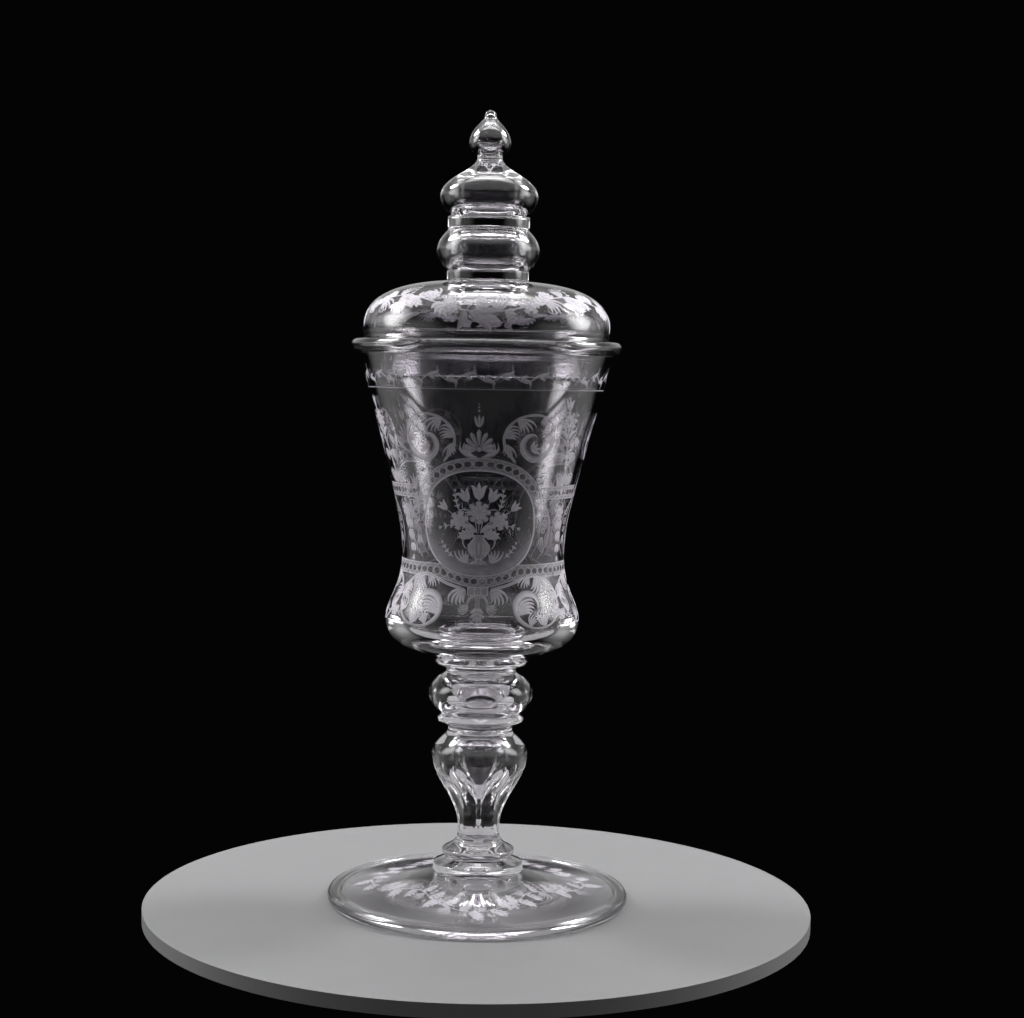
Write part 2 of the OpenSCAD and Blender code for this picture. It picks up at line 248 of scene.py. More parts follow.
def aim(angle, length):
    """A step of that length along an outline, at an angle in degrees."""
    return length * Vector((math.cos(math.radians(angle)), math.sin(math.radians(angle))))


def glide(p, u, q, v, steps):
    """A smooth curve from p to q, leaving p along u and coming to q along v."""
    return [(2 * t**3 - 3 * t**2 + 1) * p + (t**3 - 2 * t**2 + t) * u + (3 * t**2 - 2 * t**3) * q
            + (t**3 - t**2) * v for t in (i / steps for i in range(steps + 1))]


def bend(p, a, q, b, steps=SOME, pull=(1.0, 1.0)):
    """A smooth curve from p to q without p itself, leaving p at angle a and coming to q at angle b."""
    far = (q - p).length
    return glide(p, aim(a, pull[0] * far), q, aim(b, pull[1] * far), steps)[1:]


def arc(c, r, a, b, steps=FEW):
    """A round edge about c from angle a to angle b."""
    return [c + aim(a + (b - a) * i / steps, r) for i in range(steps + 1)]


def soften(outline):
    """The outline with its sharp corners rounded, apart from its ends."""
    made = [outline[0]]
    for before, here, after in zip(outline, outline[1:], outline[2:]):
        a, b = here - before, after - here
        turn = a.angle(b, 0.0)
        cut = min(SOFT_R * math.tan(turn / 2) if turn < 3 else SOFT_R, 0.45 * a.length, 0.45 * b.length)
        if turn < CORNER or here.x < 2 * SOFT_R:
            made.append(here)
        else:
            start, end = here - cut * a.normalized(), here + cut * b.normalized()
            for t in (0, 0.25, 0.5, 0.75, 1):
                made.append((1 - t)**2 * start + 2 * t * (1 - t) * here + t**2 * end)
    return made + [outline[-1]]


def bubble(mid_z, r, h):
    """The outline of a closed air bubble of height h about mid_z."""
    low_end, high_end = at(0, mid_z - h / 2), at(0, mid_z + h / 2)
    return ([low_end] + bend(low_end, OUT, at(r, mid_z), UP, MANY, (2, 1))
            + bend(at(r, mid_z), UP, high_end, IN, MANY, (1, 2)))


def deselect():
    """Object mode, with nothing selected."""
    if bpy.context.object and bpy.context.object.mode != "OBJECT":
        bpy.ops.object.mode_set(mode="OBJECT")
    bpy.ops.object.select_all(action="DESELECT")


def turned(name, outline, inside=False):
    """A closed mesh turned from an outline that runs from the axis to the axis.

    A ring of as many points is opened, laid along the outline and spun round the axis."""
    deselect()
    bpy.ops.mesh.primitive_circle_add(vertices=len(outline), radius=MM, fill_type="NOTHING")
    piece = bpy.context.object
    piece.name = piece.data.name = name
    for vertex, point in zip(piece.data.vertices, outline):
        vertex.co = (point.x, 0, point.y)
    bpy.ops.object.mode_set(mode="EDIT")
    bpy.ops.mesh.select_all(action="DESELECT")
    bpy.ops.object.mode_set(mode="OBJECT")
    for end in (0, -1):
        piece.data.vertices[end].select = True
    bpy.ops.object.mode_set(mode="EDIT")
    bpy.ops.mesh.delete(type="EDGE_FACE")
    bpy.ops.mesh.select_all(action="SELECT")
    bpy.ops.mesh.spin(steps=SIDES, angle=TURN, use_auto_merge=True, center=(0, 0, 0), axis=(0, 0, 1))
    bpy.ops.mesh.select_all(action="SELECT")
    bpy.ops.mesh.remove_doubles(threshold=1e-6)
    bpy.ops.mesh.normals_make_consistent(inside=inside)
    bpy.ops.object.mode_set(mode="OBJECT")
    return piece


def joined(piece, *others):
    """The other pieces become part of the first."""
    deselect()
    for other in (piece, *others):
        other.select_set(True)
    bpy.context.view_layer.objects.active = piece
    bpy.ops.object.join()
    return piece


def smooth(piece):
    """Smooth shading, with edges kept where the faces meet sharply."""
    deselect()
    piece.select_set(True)
    bpy.context.view_layer.objects.active = piece
    bpy.ops.object.shade_smooth_by_angle(angle=CREASE)


def glass(node, body, outline, seams, air=(), cut=None):
    """One piece of glass in place of its CAD node.

    Its seams, given as radius and height, are where it is fused to its neighbours, and air holds the
    outlines of bubbles. cut works on the mesh before the bubbles are set in."""
    piece = turned(node + "_glass", outline)
    if cut:
        cut(piece)
    bubbles = [turned(node + "_air", a, inside=True) for a in air]
    if bubbles:
        joined(piece, *bubbles)
    smooth(piece)
    piece.data.materials.append(material("blown_glass"))
    piece.data.materials.append(material("fused_seam"))
    for face in piece.data.polygons:
        for r, z in seams:
            if abs(face.center.z - z) < EDGE_R / 100 and face.center.xy.length < r:
                face.material_index = 1
    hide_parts(node)
    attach(piece, body)
    return piece


class Wire:
    """One socket of a node tree; sums and products of wires add the nodes that work them out."""

    def __init__(self, tree, socket=None):
        self.tree, self.socket = tree, socket

    def add(self, kind, settings=(), sockets=(), out=0):
        """A new node: its settings are set first, then its sockets' values and links."""
        node = self.tree.nodes.new(kind)
        for name, value in dict(settings).items():
            setattr(node, name, value)
        for name, value in dict(sockets).items():
            if isinstance(value, Wire):
                self.tree.links.new(value.socket, node.inputs[name])
            else:
                node.inputs[name].default_value = value
        return Wire(self.tree, node.outputs[out] if node.outputs else None)

    def other(self, out):
        """Another output of the same node."""
        return Wire(self.tree, self.socket.node.outputs[out])

    def maths(self, operation, first, second):
        """A Math node on two values."""
        return self.add("ShaderNodeMath", {"operation": operation}, {0: first, 1: second})

    def __add__(self, value):
        return self.maths("ADD", self, value)

    def __sub__(self, value):
        return self.maths("SUBTRACT", self, value)

    def __rsub__(self, value):
        return self.maths("SUBTRACT", value, self)

    def __mul__(self, value):
        return self.maths("MULTIPLY", self, value)

    def at_most(self, value):
        """The smaller of it and a value."""
        return self.maths("MINIMUM", self, value)

    __radd__, __rmul__ = __add__, __mul__


def new_tree(owner):
    """The empty node tree of a material, lamp or world."""
    owner.use_nodes = True
    owner.node_tree.nodes.clear()
    return Wire(owner.node_tree)


def tint(values):
    """A colour with its alpha."""
    return (*values, 1.0)


def noise(start, scale, detail=2.0, stretch=(1, 1, 1)):
    """A soft random pattern between 0 and 1, stretched along the object's three axes."""
    place = start.add("ShaderNodeTexCoord", out="Object")
    where = start.add("ShaderNodeMapping", {"vector_type": "POINT"}, {"Vector": place, "Scale": stretch})
    return start.add("ShaderNodeTexNoise", {}, {"Vector": where, "Scale": scale, "Detail": detail})


def bumps(start, strength, depth, height):
    """Bumps in a surface, as deep as that in metres."""
    return start.add("ShaderNodeBump", {}, {"Strength": strength, "Distance": depth, "Height": height})


def blown_glass(start, look):
    """Blown glass: faint waves and tool lines in its surface, and a trace of handling."""
    waves = noise(start, 75.0)
    lines = noise(start, 110.0, 1.0, (0.12, 0.12, 5.5))
    normal = bumps(start, 1.0, 0.02 * MM, waves + 0.22 * lines)
    wear = noise(start, 420.0, 4.0)
    rough = start.add("ShaderNodeMapRange", {},
                      {"Value": wear, "From Min": 0.45, "From Max": 0.8, "To Min": 0.0, "To Max": 0.05})
    return start.add("ShaderNodeBsdfPrincipled", {}, {
        "Base Color": tint(look.glass), "Roughness": rough, "IOR": look.bend_index,
        "Transmission Weight": 1.0, "Normal": normal})


def fused_seam(start, look):
    """Glass fused to glass shows no face at all."""
    return start.add("ShaderNodeBsdfTransparent", {}, {"Color": (1, 1, 1, 1)})


def matt_cuts(start, look):
    """Matt cuts of an engraver's wheel, as dense as the tone of the cut says."""
    tone = start.add("ShaderNodeAttribute", {"attribute_name": "tone"}, out="Fac")
    grain = noise(start, 2600.0, 3.0)
    patches = noise(start, 260.0)
    alpha = tone * (0.7 + 0.5 * patches + 0.1 * grain)
    normal = bumps(start, 0.35, 0.05 * MM, grain)
    return start.add("ShaderNodeBsdfPrincipled", {}, {
        "Base Color": tint(look.frost), "Roughness": 0.62, "Alpha": alpha.at_most(1.0), "Normal": normal})


def pale_floor(start, look):
    """A plain painted board, hardly mottled."""
    mottle = noise(start, 60.0, 5.0)
    shade = start.add("ShaderNodeMix", {"data_type": "RGBA"}, {
        "Factor": mottle, 6: tint(look.floor), 7: tint([0.94 * c for c in look.floor])}, out=2)
    normal = bumps(start, 0.2, 0.1 * MM, mottle)
    return start.add("ShaderNodeBsdfPrincipled", {}, {
        "Base Color": shade, "Roughness": 0.55, "Normal": normal})


FINISHES = {f.__name__: f for f in (blown_glass, fused_seam, matt_cuts, pale_floor)}


def material(name):
    """The material of that name, made when it is first asked for."""
    made = bpy.data.materials.get(name)
    if made is None:
        made = bpy.data.materials.new(name)
        start = new_tree(made)
        surface = FINISHES[name](start, settings("finishes"))
        start.add("ShaderNodeOutputMaterial", {}, {"Surface": surface})
    return made


def foot_outline(g):
    """The foot: a plate drawn up to a seat, its edge folded under, its pontil ground out."""
    plate_low, plate_high, step = 171, 162, 0.6 * MM
    seat, seat_z = reach("low_collar"), top("foot")
    bead = g.rim_h / 2
    bead_r, fold_r = reach("foot") - bead, reach("foot") - g.fold_w
    plate = at(fold_r - step, g.rim_h - step)
    under = plate - at(step, g.plate_t)
    roof_z = seat_z - g.plate_t
    crown, pontil = at(0, roof_z + g.pontil_dip / 2), at(g.pontil_r, roof_z - g.pontil_dip / 2)
    return ([crown] + bend(crown, OUT, pontil, plate_high - 180)
            + bend(pontil, plate_high - 180, under, plate_low - 180, MANY)
            + [at(bead_r - g.stand_w, 0)] + arc(at(bead_r, bead), bead, DOWN, UP, 2 * SOME)
            + [at(fold_r, g.rim_h), plate]
            + bend(plate, plate_low, at(seat, seat_z), plate_high, MANY)
            + [at(seat - EDGE_R, seat_z), at(0, seat_z)])


def lipped(node, base_r, neck_h, top_r):
    """A collar with a lip halfway up above its neck."""
    (z, z2), lip = span(node), reach(node)
    lip_z = (z + neck_h + z2) / 2
    return ([at(0, z), at(base_r, z), at(base_r, z + neck_h)]
            + arc(at(lip - LIP_R, lip_z), LIP_R, -LIP_TURN, LIP_TURN) + [at(top_r, z2), at(0, z2)])


def swelling(node, low_r, low_lean, top_r, high_lean):
    """A knop between two radii, with its leans there in degrees, and the height of its widest line."""
    z, z2 = span(node)
    start, mid = at(low_r, z), at(reach(node), z + BELLY * (z2 - z))
    return ([at(0, z), start] + bend(start, low_lean, mid, UP, MANY)
            + bend(mid, UP, at(top_r, z2), high_lean, MANY) + [at(0, z2)]), mid.y


def banded(node, r, top_seam):
    """A plain collar with two rounded edges."""
    z, z2 = span(node)
    return ([at(0, z)] + arc(at(r - EDGE_R, z + EDGE_R), EDGE_R, DOWN, OUT)
            + arc(at(r - EDGE_R, z2 - EDGE_R), EDGE_R, OUT, UP) + [at(top_seam, z2), at(0, z2)])


class GOBLET_OT_foot(bpy.types.Operator):
    """Models the foot and the two collars on it"""

    bl_idname = "goblet.foot"
    bl_label = "Foot"

    def execute(self, context):
        g, stem = settings("foot"), settings("stem")
        low_r, up_r = reach("low_collar"), reach("up_collar")
        seam = (low_r - EDGE_R, low("low_collar"))
        mid_seam = (g.join_r, low("up_collar"))
        top_seam = (stem.base_r, top("up_collar"))
        glass("foot", GOBLET, soften(foot_outline(g)), [seam])
        z, z2 = span("low_collar")
        glass("low_collar", GOBLET, soften(
            [at(0, z)] + arc(at(low_r - EDGE_R, z + EDGE_R), EDGE_R, DOWN, OUT)
            + arc(at(low_r - LIP_R - EDGE_R / 2, z + g.band_h - LIP_R), LIP_R, OUT, LIP_TURN)
            + [at(g.join_r, z2), at(0, z2)]), [seam, mid_seam])
        z, z2 = span("up_collar")
        lip = at(up_r - LIP_R, z + g.lip_h)
        slope, slope_lean = lip + aim(LIP_TURN, LIP_R), 118
        glass("up_collar", GOBLET, soften(
            [at(0, z), at(g.join_r, z)] + arc(lip - at(0, LIP_R), LIP_R, -LIP_TURN, OUT)
            + arc(lip, LIP_R, OUT, LIP_TURN) + bend(slope, UP + LIP_TURN, at(stem.base_r, z2), slope_lean)
            + [at(0, z2)]), [mid_seam, top_seam])
        return {"FINISHED"}


class GOBLET_OT_stem(bpy.types.Operator):
    """Models the fluted baluster, the knop and their collars"""

    bl_idname = "goblet.stem"
    bl_label = "Stem"

    def execute(self, context):
        g, bowl = settings("stem"), settings("bowl")
        seams = [(g.base_r, low("baluster")), (g.neck_r, top("baluster")), (g.knop_low_r, low("knop")),
                 (g.knop_top_r, top("knop")), (bowl.seat_r, low("bowl"))]
        self.baluster(g, seams[:2])
        glass("knop_collar", GOBLET, soften(lipped("knop_collar", g.neck_r, EDGE_R, g.knop_low_r)),
              seams[1:3])
        low_lean, high_lean = 30, 153
        outline, mid_z = swelling("knop", g.knop_low_r, low_lean, g.knop_top_r, high_lean)
        glass("knop", GOBLET, outline, seams[2:4],
              [bubble(mid_z + g.knop_air_rise, g.knop_air_r, g.knop_air_h)])
        glass("bowl_collar", GOBLET,
              soften(lipped("bowl_collar", g.knop_top_r, g.bowl_neck_h, bowl.seat_r)), seams[3:])
        return {"FINISHED"}

    def baluster(self, g, seams):
        """A thick swelling round an air tear, with flutes cut into its lower half."""
        base_lean, flank_lean, shoulder_lean, tip_lean = 125, 60, 138, 60
        shoulder_share, shoulder_drop = 0.28, 4.5 * MM
        tear_drop, tear_belly_l, thread_r, thread_l = 7.5 * MM, 6.5 * MM, 1.4 * MM, 11 * MM
        z, z2 = span("baluster")
        base, waist = at(g.base_r, z), at(g.waist_r, z + g.waist_h)
        swell = at(reach("baluster"), z2 - g.swell_drop)
        flank, neck = (waist + swell) / 2, at(g.neck_r, z2 - g.neck_h)
        shoulder = at(neck.x + shoulder_share * (swell.x - neck.x), z2 - shoulder_drop)
        outline = ([at(0, z), base] + bend(base, base_lean, waist, UP)
                   + bend(waist, UP, flank, flank_lean, 2 * SOME)
                   + bend(flank, flank_lean, swell, UP, 2 * SOME)
                   + bend(swell, UP, shoulder, shoulder_lean, 2 * SOME)
                   + bend(shoulder, shoulder_lean, neck, UP) + [at(neck.x, z2), at(0, z2)])
        tear_z = z2 - tear_drop
        tip, belly = at(0, z + g.tear_tip_h), at(g.tear_r, tear_z - tear_belly_l)
        thread = at(thread_r, tip.y + thread_l)
        tear = ([tip] + bend(tip, tip_lean, thread, UP) + bend(thread, UP, belly, UP, MANY)
                + bend(belly, UP, at(0, tear_z), IN))

        def flutes(piece):
            """Cuts the flutes with a round wheel that is set at the waist."""
            for i in range(g.flutes):
                turn = TURN * i / g.flutes - TURN / 4
                x = g.waist_r + g.wheel_r - g.bite
                deselect()
                bpy.ops.mesh.primitive_uv_sphere_add(
                    segments=96, ring_count=64, radius=g.wheel_r,
                    location=(x * math.cos(turn), x * math.sin(turn), waist.y), rotation=(0, 0, turn))
                wheel = bpy.context.object
                cutting = piece.modifiers.new("flute", "BOOLEAN")
                cutting.operation, cutting.solver, cutting.object = "DIFFERENCE", "EXACT", wheel
                deselect()
                bpy.context.view_layer.objects.active = piece
                bpy.ops.object.modifier_apply(modifier=cutting.name)
                bpy.data.objects.remove(wheel)

        glass("baluster", GOBLET, outline, seams, [tear], flutes)


def bowl_outside(g):
    """The outer outline of the bowl, from its seat to its lip."""
    seat_lean, turn_lean, turn_share = 11, 113.7, 0.4
    z, lip_z = low("bowl"), top("bowl") - EDGE_R
    seat, bulb, waist = at(g.seat_r, z), at(g.bulb_r, z + g.bulb_h), at(g.waist_r, z + g.waist_h)
    turn = at((bulb.x + waist.x) / 2, bulb.y + turn_share * (waist.y - bulb.y))
    return ([seat] + bend(seat, seat_lean, bulb, UP, MANY, (1.4, 1.13)) + bend(bulb, UP, turn, turn_lean)
            + bend(turn, turn_lean, waist, UP)
            + bend(waist, UP, at(g.mouth_r, lip_z), UP - BOWL_LEAN, 2 * MANY, (0.66, 0.9)))


class GOBLET_OT_bowl(bpy.types.Operator):
    """Models the bowl: a bulb, a drawn-in waist and a flaring wall up to a fire-polished rim"""

    bl_idname = "goblet.bowl"
    bl_label = "Bowl"

    def execute(self, context):
        g = settings("bowl")
        z = low("bowl")
        outer = bowl_outside(g)
        lip, wall = outer[-1], at(g.wall, 0)
        sunk = at(g.bulb_r - g.wall, z + g.bulb_h + g.wall)
        inner = [p - wall for p in reversed(outer) if p.y > sunk.y]
        outline = ([at(0, z)] + outer + arc(lip - at(EDGE_R, 0), EDGE_R, OUT, UP)
                   + arc(lip - wall + at(EDGE_R, 0), EDGE_R, UP, IN) + inner[1:]
                   + bend(inner[-1], DOWN, at(0, z + g.floor), IN, MANY, (1.0, 1.5)))
        glass("bowl", GOBLET, outline, [(g.seat_r, z)])
        return {"FINISHED"}


def dome_outside(g, bowl):
    """The outer outline of the dome, from the flange to its top."""
    foot_lean, foot_inset = 80, 0.5 * MM
    z, top_z = low("cover") + g.insert_depth + g.flange_h, top("cover")
    wide = at(bowl.mouth_r - g.inset, z + g.wide_h)
    dome_foot = at(wide.x - foot_inset, z)
    return ([dome_foot] + bend(dome_foot, foot_lean, wide, UP)
            + bend(wide, UP, at(g.band_r, top_z), DOME_LEAN, 2 * MANY, DOME_PULL))


class GOBLET_OT_cover(bpy.types.Operator):
    """Models the cover: the ring that drops into the bowl, the flange and a full low dome"""

    bl_idname = "goblet.cover"
    bl_label = "Cover"

    def execute(self, context):
        g, bowl = settings("cover"), settings("bowl")
        ring_z, top_z = span("cover")
        seat_z = ring_z + g.insert_depth
        ring_r = (bowl.mouth_r - bowl.wall - g.insert_play
                  - g.insert_depth * math.tan(math.radians(BOWL_LEAN)))
        bead = g.flange_h / 2
        outer = dome_outside(g, bowl)
        wide = at(bowl.mouth_r - g.inset - g.wall, seat_z + g.flange_h + g.wide_h)
        in_top, in_ring = at(g.band_r, top_z - g.top_t), ring_r - g.wall
        outline = ([at(0, in_top.y), in_top]
                   + bend(in_top, DOME_LEAN - 180, wide, DOWN, 2 * MANY, DOME_PULL[::-1])
                   + bend(wide, DOWN, at(in_ring, seat_z), DOWN)
                   + arc(at(in_ring + EDGE_R, ring_z + EDGE_R), EDGE_R, IN, IN + 90)
                   + arc(at(ring_r - EDGE_R, ring_z + EDGE_R), EDGE_R, DOWN, OUT) + [at(ring_r, seat_z)]
                   + arc(at(reach("cover") - bead, seat_z + bead), bead, DOWN, UP, 2 * SOME)
                   + outer + [at(g.band_r - EDGE_R, top_z), at(0, top_z)])
        glass("cover", LID, soften(outline), [(g.band_r - EDGE_R, top_z)])
        return {"FINISHED"}


class GOBLET_OT_finial(bpy.types.Operator):
    """Models the cover's collars, its knop, the onion and the ball"""

    bl_idname = "goblet.finial"
    bl_label = "Finial"

    def execute(self, context):
        g = settings("cover")
        band, neck = g.band_r - EDGE_R, g.neck_r - EDGE_R
        seams = [(band, low("cover_collar")), (band, low("cover_knop")), (band, low("finial_collar")),
                 (g.onion_low_r, low("onion")), (neck, low("neck_ring")), (neck, low("ball"))]
        glass("cover_collar", LID, banded("cover_collar", g.band_r, band / 2), seams[:2])
        low_lean, high_lean = 33, 139
        outline, mid_z = swelling("cover_knop", band, low_lean, band, high_lean)
        glass("cover_knop", LID, outline, seams[1:3], [bubble(mid_z, g.knop_air_r, g.knop_air_h)])
        glass("finial_collar", LID, banded("finial_collar", g.band_r, g.onion_low_r), seams[2:4])
        z, z2 = span("onion")
        foot_end, wide = at(g.onion_low_r, z), at(reach("onion"), z + g.onion_wide_h)
        foot_lean, turn_lean, neck_lean, turn_r, turn_h = 35, 148, 95, 0.65, 0.56
        turn = at(turn_r * wide.x, wide.y + turn_h * (z2 - wide.y))
        glass("onion", LID,
              [at(0, z), foot_end] + bend(foot_end, foot_lean, wide, UP, MANY)
              + bend(wide, UP, turn, turn_lean, MANY)
              + bend(turn, turn_lean, at(g.neck_r, z2), neck_lean, MANY, (0.7, 0.7))
              + [at(neck, z2), at(0, z2)],
              seams[3:5], [bubble(wide.y + EDGE_R, g.onion_air_r, g.onion_air_h)])
        glass("neck_ring", LID, banded("neck_ring", g.neck_r, neck / 2), seams[4:])
        z, z2 = span("ball")
        wide, tip = at(reach("ball"), z + g.ball_wide_h), at(0, z2 - g.tip_r)
        foot_lean, turn_lean, tip_turn, turn_r, turn_h = 20, 132, 15, 0.61, 0.53
        turn = at(turn_r * wide.x, wide.y + turn_h * (z2 - wide.y))
        air_foot, air = at(0, z + EDGE_R + LIP_R), at(g.ball_air_r, wide.y + EDGE_R)
        glass("ball", LID,
              [at(0, z), at(neck, z), at(g.neck_r, z)] + bend(at(g.neck_r, z), foot_lean, wide, UP, MANY)
              + bend(wide, UP, turn, turn_lean, MANY)
              + bend(turn, turn_lean, tip + at(g.tip_r, 0), UP, SOME, (0.9, 0.9))
              + arc(tip, g.tip_r, tip_turn, UP), seams[5:],
              [[air_foot] + bend(air_foot, OUT, air, UP) + bend(air, UP, at(0, air.y + air.x), IN),
               bubble(z2 - 2 * g.tip_air_r, g.tip_air_r, 2 * g.tip_air_r)])
        return {"FINISHED"}


class Skin:
    """The outside of a turned piece: length along its outline, from its lower or outer end, in mm."""

    def __init__(self, outline, girth=None):
        r, z = (np.array([p[k] for p in outline]) / MM for k in (0, 1))
        dr, dz = np.gradient(r), np.gradient(z)
        length = np.hypot(dr, dz)
        self.s = np.concatenate([[0], np.cumsum(np.hypot(np.diff(r), np.diff(z)))])
        self.r, self.z, self.out, self.rise = r, z, dz / length, -dr / length
        self.girth = girth

    def along(self, z):
        """Length along the outline at which it has that height, in mm."""
        return float(np.interp(z, self.z, self.s))

    def place(self, angle, z):
        """A place on the unrolled skin, from the angle to the front and the height."""
        s = self.along(z)
        return complex(math.radians(angle) * (self.girth or float(np.interp(s, self.s, self.r))), s)

    def lay(self, flat, lift, turn):
        """Points in metres for places on the unrolled skin, lifted off it and turned round the axis."""
        s = flat.imag
        r, z, out, rise = (np.interp(s, self.s, v) for v in (self.r, self.z, self.out, self.rise))
        angle = turn + flat.real / (self.girth or r)
        r, z = r + lift * out, z + lift * rise
        return np.stack([r * np.sin(angle), -r * np.cos(angle), z], 1) * MM


class Sheet:
    """The matt cuts on one part of a skin."""

    def __init__(self):
        self.flat, self.tone, self.lift, self.faces, self.layer = [], [], [], [], 0

    def spot(self, place, tone):
        """A new point of the cut that is being made, and its number."""
        self.flat.append(place)
        self.tone.append(tone)
        self.lift.append(CUT_LIFT + CUT_STEP * (self.layer % CUT_LAYERS))
        return len(self.flat) - 1

    def build(self, name, body, skin, turns, dense, far=1.0):
        """The piece itself, repeated at each of these turns round the axis, in degrees; dense is how much of
        its tone it shows, and far how much of that is left at the back, where the fading is painted shade."""
        flat, lift = np.array(self.flat), np.array(self.lift)
        points = np.concatenate([skin.lay(flat, lift, math.radians(t)) for t in turns])
        faces = [[v + k * len(flat) for v in f] for k in range(len(turns)) for f in self.faces]
        mesh = bpy.data.meshes.new(name)
        mesh.from_pydata(points.tolist(), [], faces)
        # Painted shade: behind the axis the cuts fade to far of their tone, for the far side's dimmer look
        # through glass.
        back = np.clip(points[:, 1] / np.hypot(points[:, 0], points[:, 1]) / SHADE_FROM - 1, 0, 1)
        tones = dense * np.tile(np.clip(self.tone, 0, 1), len(turns)) * (1 - (1 - far) * back)
        tone = mesh.attributes.new("tone", "FLOAT", "POINT")
        tone.data.foreach_set("value", tones.astype(np.float32))
        piece = bpy.data.objects.new(name, mesh)
        bpy.context.scene.collection.objects.link(piece)
        smooth(piece)
        mesh.materials.append(material("matt_cuts"))
        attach(piece, body)


class Pen:
    """Draws cuts on a sheet from a place of its own: an origin, a turn, a size and a hand."""

    def __init__(self, sheet, scale=1 + 0j, origin=0j, flip=False):
        self.sheet, self.scale, self.origin, self.flip = sheet, scale, origin, flip

    def put(self, p):
        """The place on the sheet of a point seen from the pen."""
        return self.scale * (p.conjugate() if self.flip else p) + self.origin

    def at(self, origin, turn=0.0, grow=1.0, flip=False):
        """A pen that starts there, turned by so many degrees; flip mirrors it across its own line."""
        step = cmath.rect(grow, math.radians(turn))
        scale = self.scale * (step.conjugate() if self.flip else step)
        return Pen(self.sheet, scale, self.put(origin), self.flip != flip)

    def both(self, origin=0j):
        """Two pens there that draw a right half and the left half that mirrors it."""
        return self.at(origin), self.at(origin, 180, 1.0, True)

    def face(self, *spots):
        """A face that keeps its outside when the pen mirrors it."""
        self.sheet.faces.append(spots[::-1] if self.flip else spots)

    def cut(self, spine, width, tone=1.0, right=0.4, left=None, ends=(0.6, 0.6)):
        """One cut of the wheel along a spine: its tone in the middle and its shares of that on both sides.

        Small ends leave it broad to its end there, and large ones draw it to a long point."""
        self.sheet.layer += 1
        left = right if left is None else left
        peak = ends[0] / max(sum(ends), 1e-9)
        most = peak**ends[0] * (1 - peak)**ends[1]
        last, before = len(spine) - 1, None
        for i, p in enumerate(spine):
            t = i / last
            way = spine[min(i + 1, last)] - spine[max(i - 1, 0)]
            half = 0.5 * width * t**ends[0] * (1 - t)**ends[1] / most
            side = 1j * way / abs(way) * half
            row = [self.sheet.spot(self.put(p), tone)] * 3
            # The shares on both sides shade the cut across: partly a cut deeper on one side, partly painted
            # shade that models the groove's relief.
            if half > 1e-6:
                row[0] = self.sheet.spot(self.put(p - side), right * tone)
                row[2] = self.sheet.spot(self.put(p + side), left * tone)
            for j in (0, 1) if before else ():
                corners = tuple(dict.fromkeys((before[j], row[j], row[j + 1], before[j + 1])))
                if len(corners) > 2:
                    self.face(*corners)
            before = row

    def line(self, spine, width=0.5, tone=1.0):
        """A thin line of even width."""
        self.cut(spine, width, tone, 0.6, None, (0, 0))

    def stem(self, spine, width, tone=1.0, ends=(0.1, 0.5)):
        """A ribbon with bright edges that thins to its end."""
        self.cut(spine, width, 0.5 * tone, 2.0, None, ends)

    def dot(self, p, r, tone=1.0, sides=9):
        """A round dip of the wheel."""
        self.sheet.layer += 1
        middle = self.sheet.spot(self.put(p), tone)
        rim = [self.sheet.spot(self.put(p + cmath.rect(r, TURN * k / sides)), 0.5 * tone)
               for k in range(sides)]
        for k in range(sides):
            self.face(middle, rim[k], rim[(k + 1) % sides])

    def ring(self, p, r, sides=18):
        """A round line."""
        self.line([p + cmath.rect(r, TURN * k / sides) for k in range(sides + 1)], 0.6)

    def ground(self, low_edge, high_edge, rows, tone):
        """A matt ground between two lines of as many points; tone tells it from the shares along and up."""
        self.sheet.layer += 1
        last = len(low_edge) - 1
        grid = [[self.sheet.spot(self.put(p + (q - p) * j / rows), tone(i / last, j / rows))
                 for j in range(rows + 1)] for i, (p, q) in enumerate(zip(low_edge, high_edge))]
        for here, there in zip(grid, grid[1:]):
            for j in range(rows):
                self.face(here[j], there[j], there[j + 1], here[j + 1])


def curve(p, a, q, b, steps=10, pull=1.0):
    """A smooth line from p at angle a to q at angle b, in degrees."""
    u, v = (cmath.rect(pull * abs(q - p), math.radians(w)) for w in (a, b))
    return glide(p, u, q, v, steps)


def chain(*knots, steps=8):
    """A smooth line through knots, each a point and an angle."""
    made = [knots[0][0]]
    for (p, a), (q, b) in zip(knots, knots[1:]):
        made += curve(p, a, q, b, steps)[1:]
    return made


def on(spine, t):
    """The point at that share of a spine, and the angle there, in degrees."""
    i = min(int(t * (len(spine) - 1)), len(spine) - 2)
    part = t * (len(spine) - 1) - i
    way = spine[i + 1] - spine[i]
    return spine[i] + part * way, math.degrees(cmath.phase(way))


def coil(length, curl, steps, late):
    """A line that bends by curl degrees in all, the later the larger late is."""
    made = [0j]
    for i in range(steps):
        made.append(made[-1] + cmath.rect(length / steps, math.radians(curl * ((i + 0.5) / steps)**late)))
    return made


def frond(pen, length, curl, ribs=5):
    """Half an acanthus leaf: ribs that fan out from its foot, curl over and part into teeth."""
    fan, side = 70, math.copysign(1, curl)
    edges = (1.2, 0.6) if side > 0 else (0.6, 1.2)
    for k in range(ribs):
        u = k / (ribs - 1)
        rib = pen.at(complex(0, side * 0.05 * length * (1 - u)), side * fan * (1 - u))
        rib.cut(coil((0.52 + 0.56 * u) * length, curl * (0.45 + 0.55 * u), 10, 1.7), 0.125 * length, 0.78,
                *edges, (0.4, 0.75))


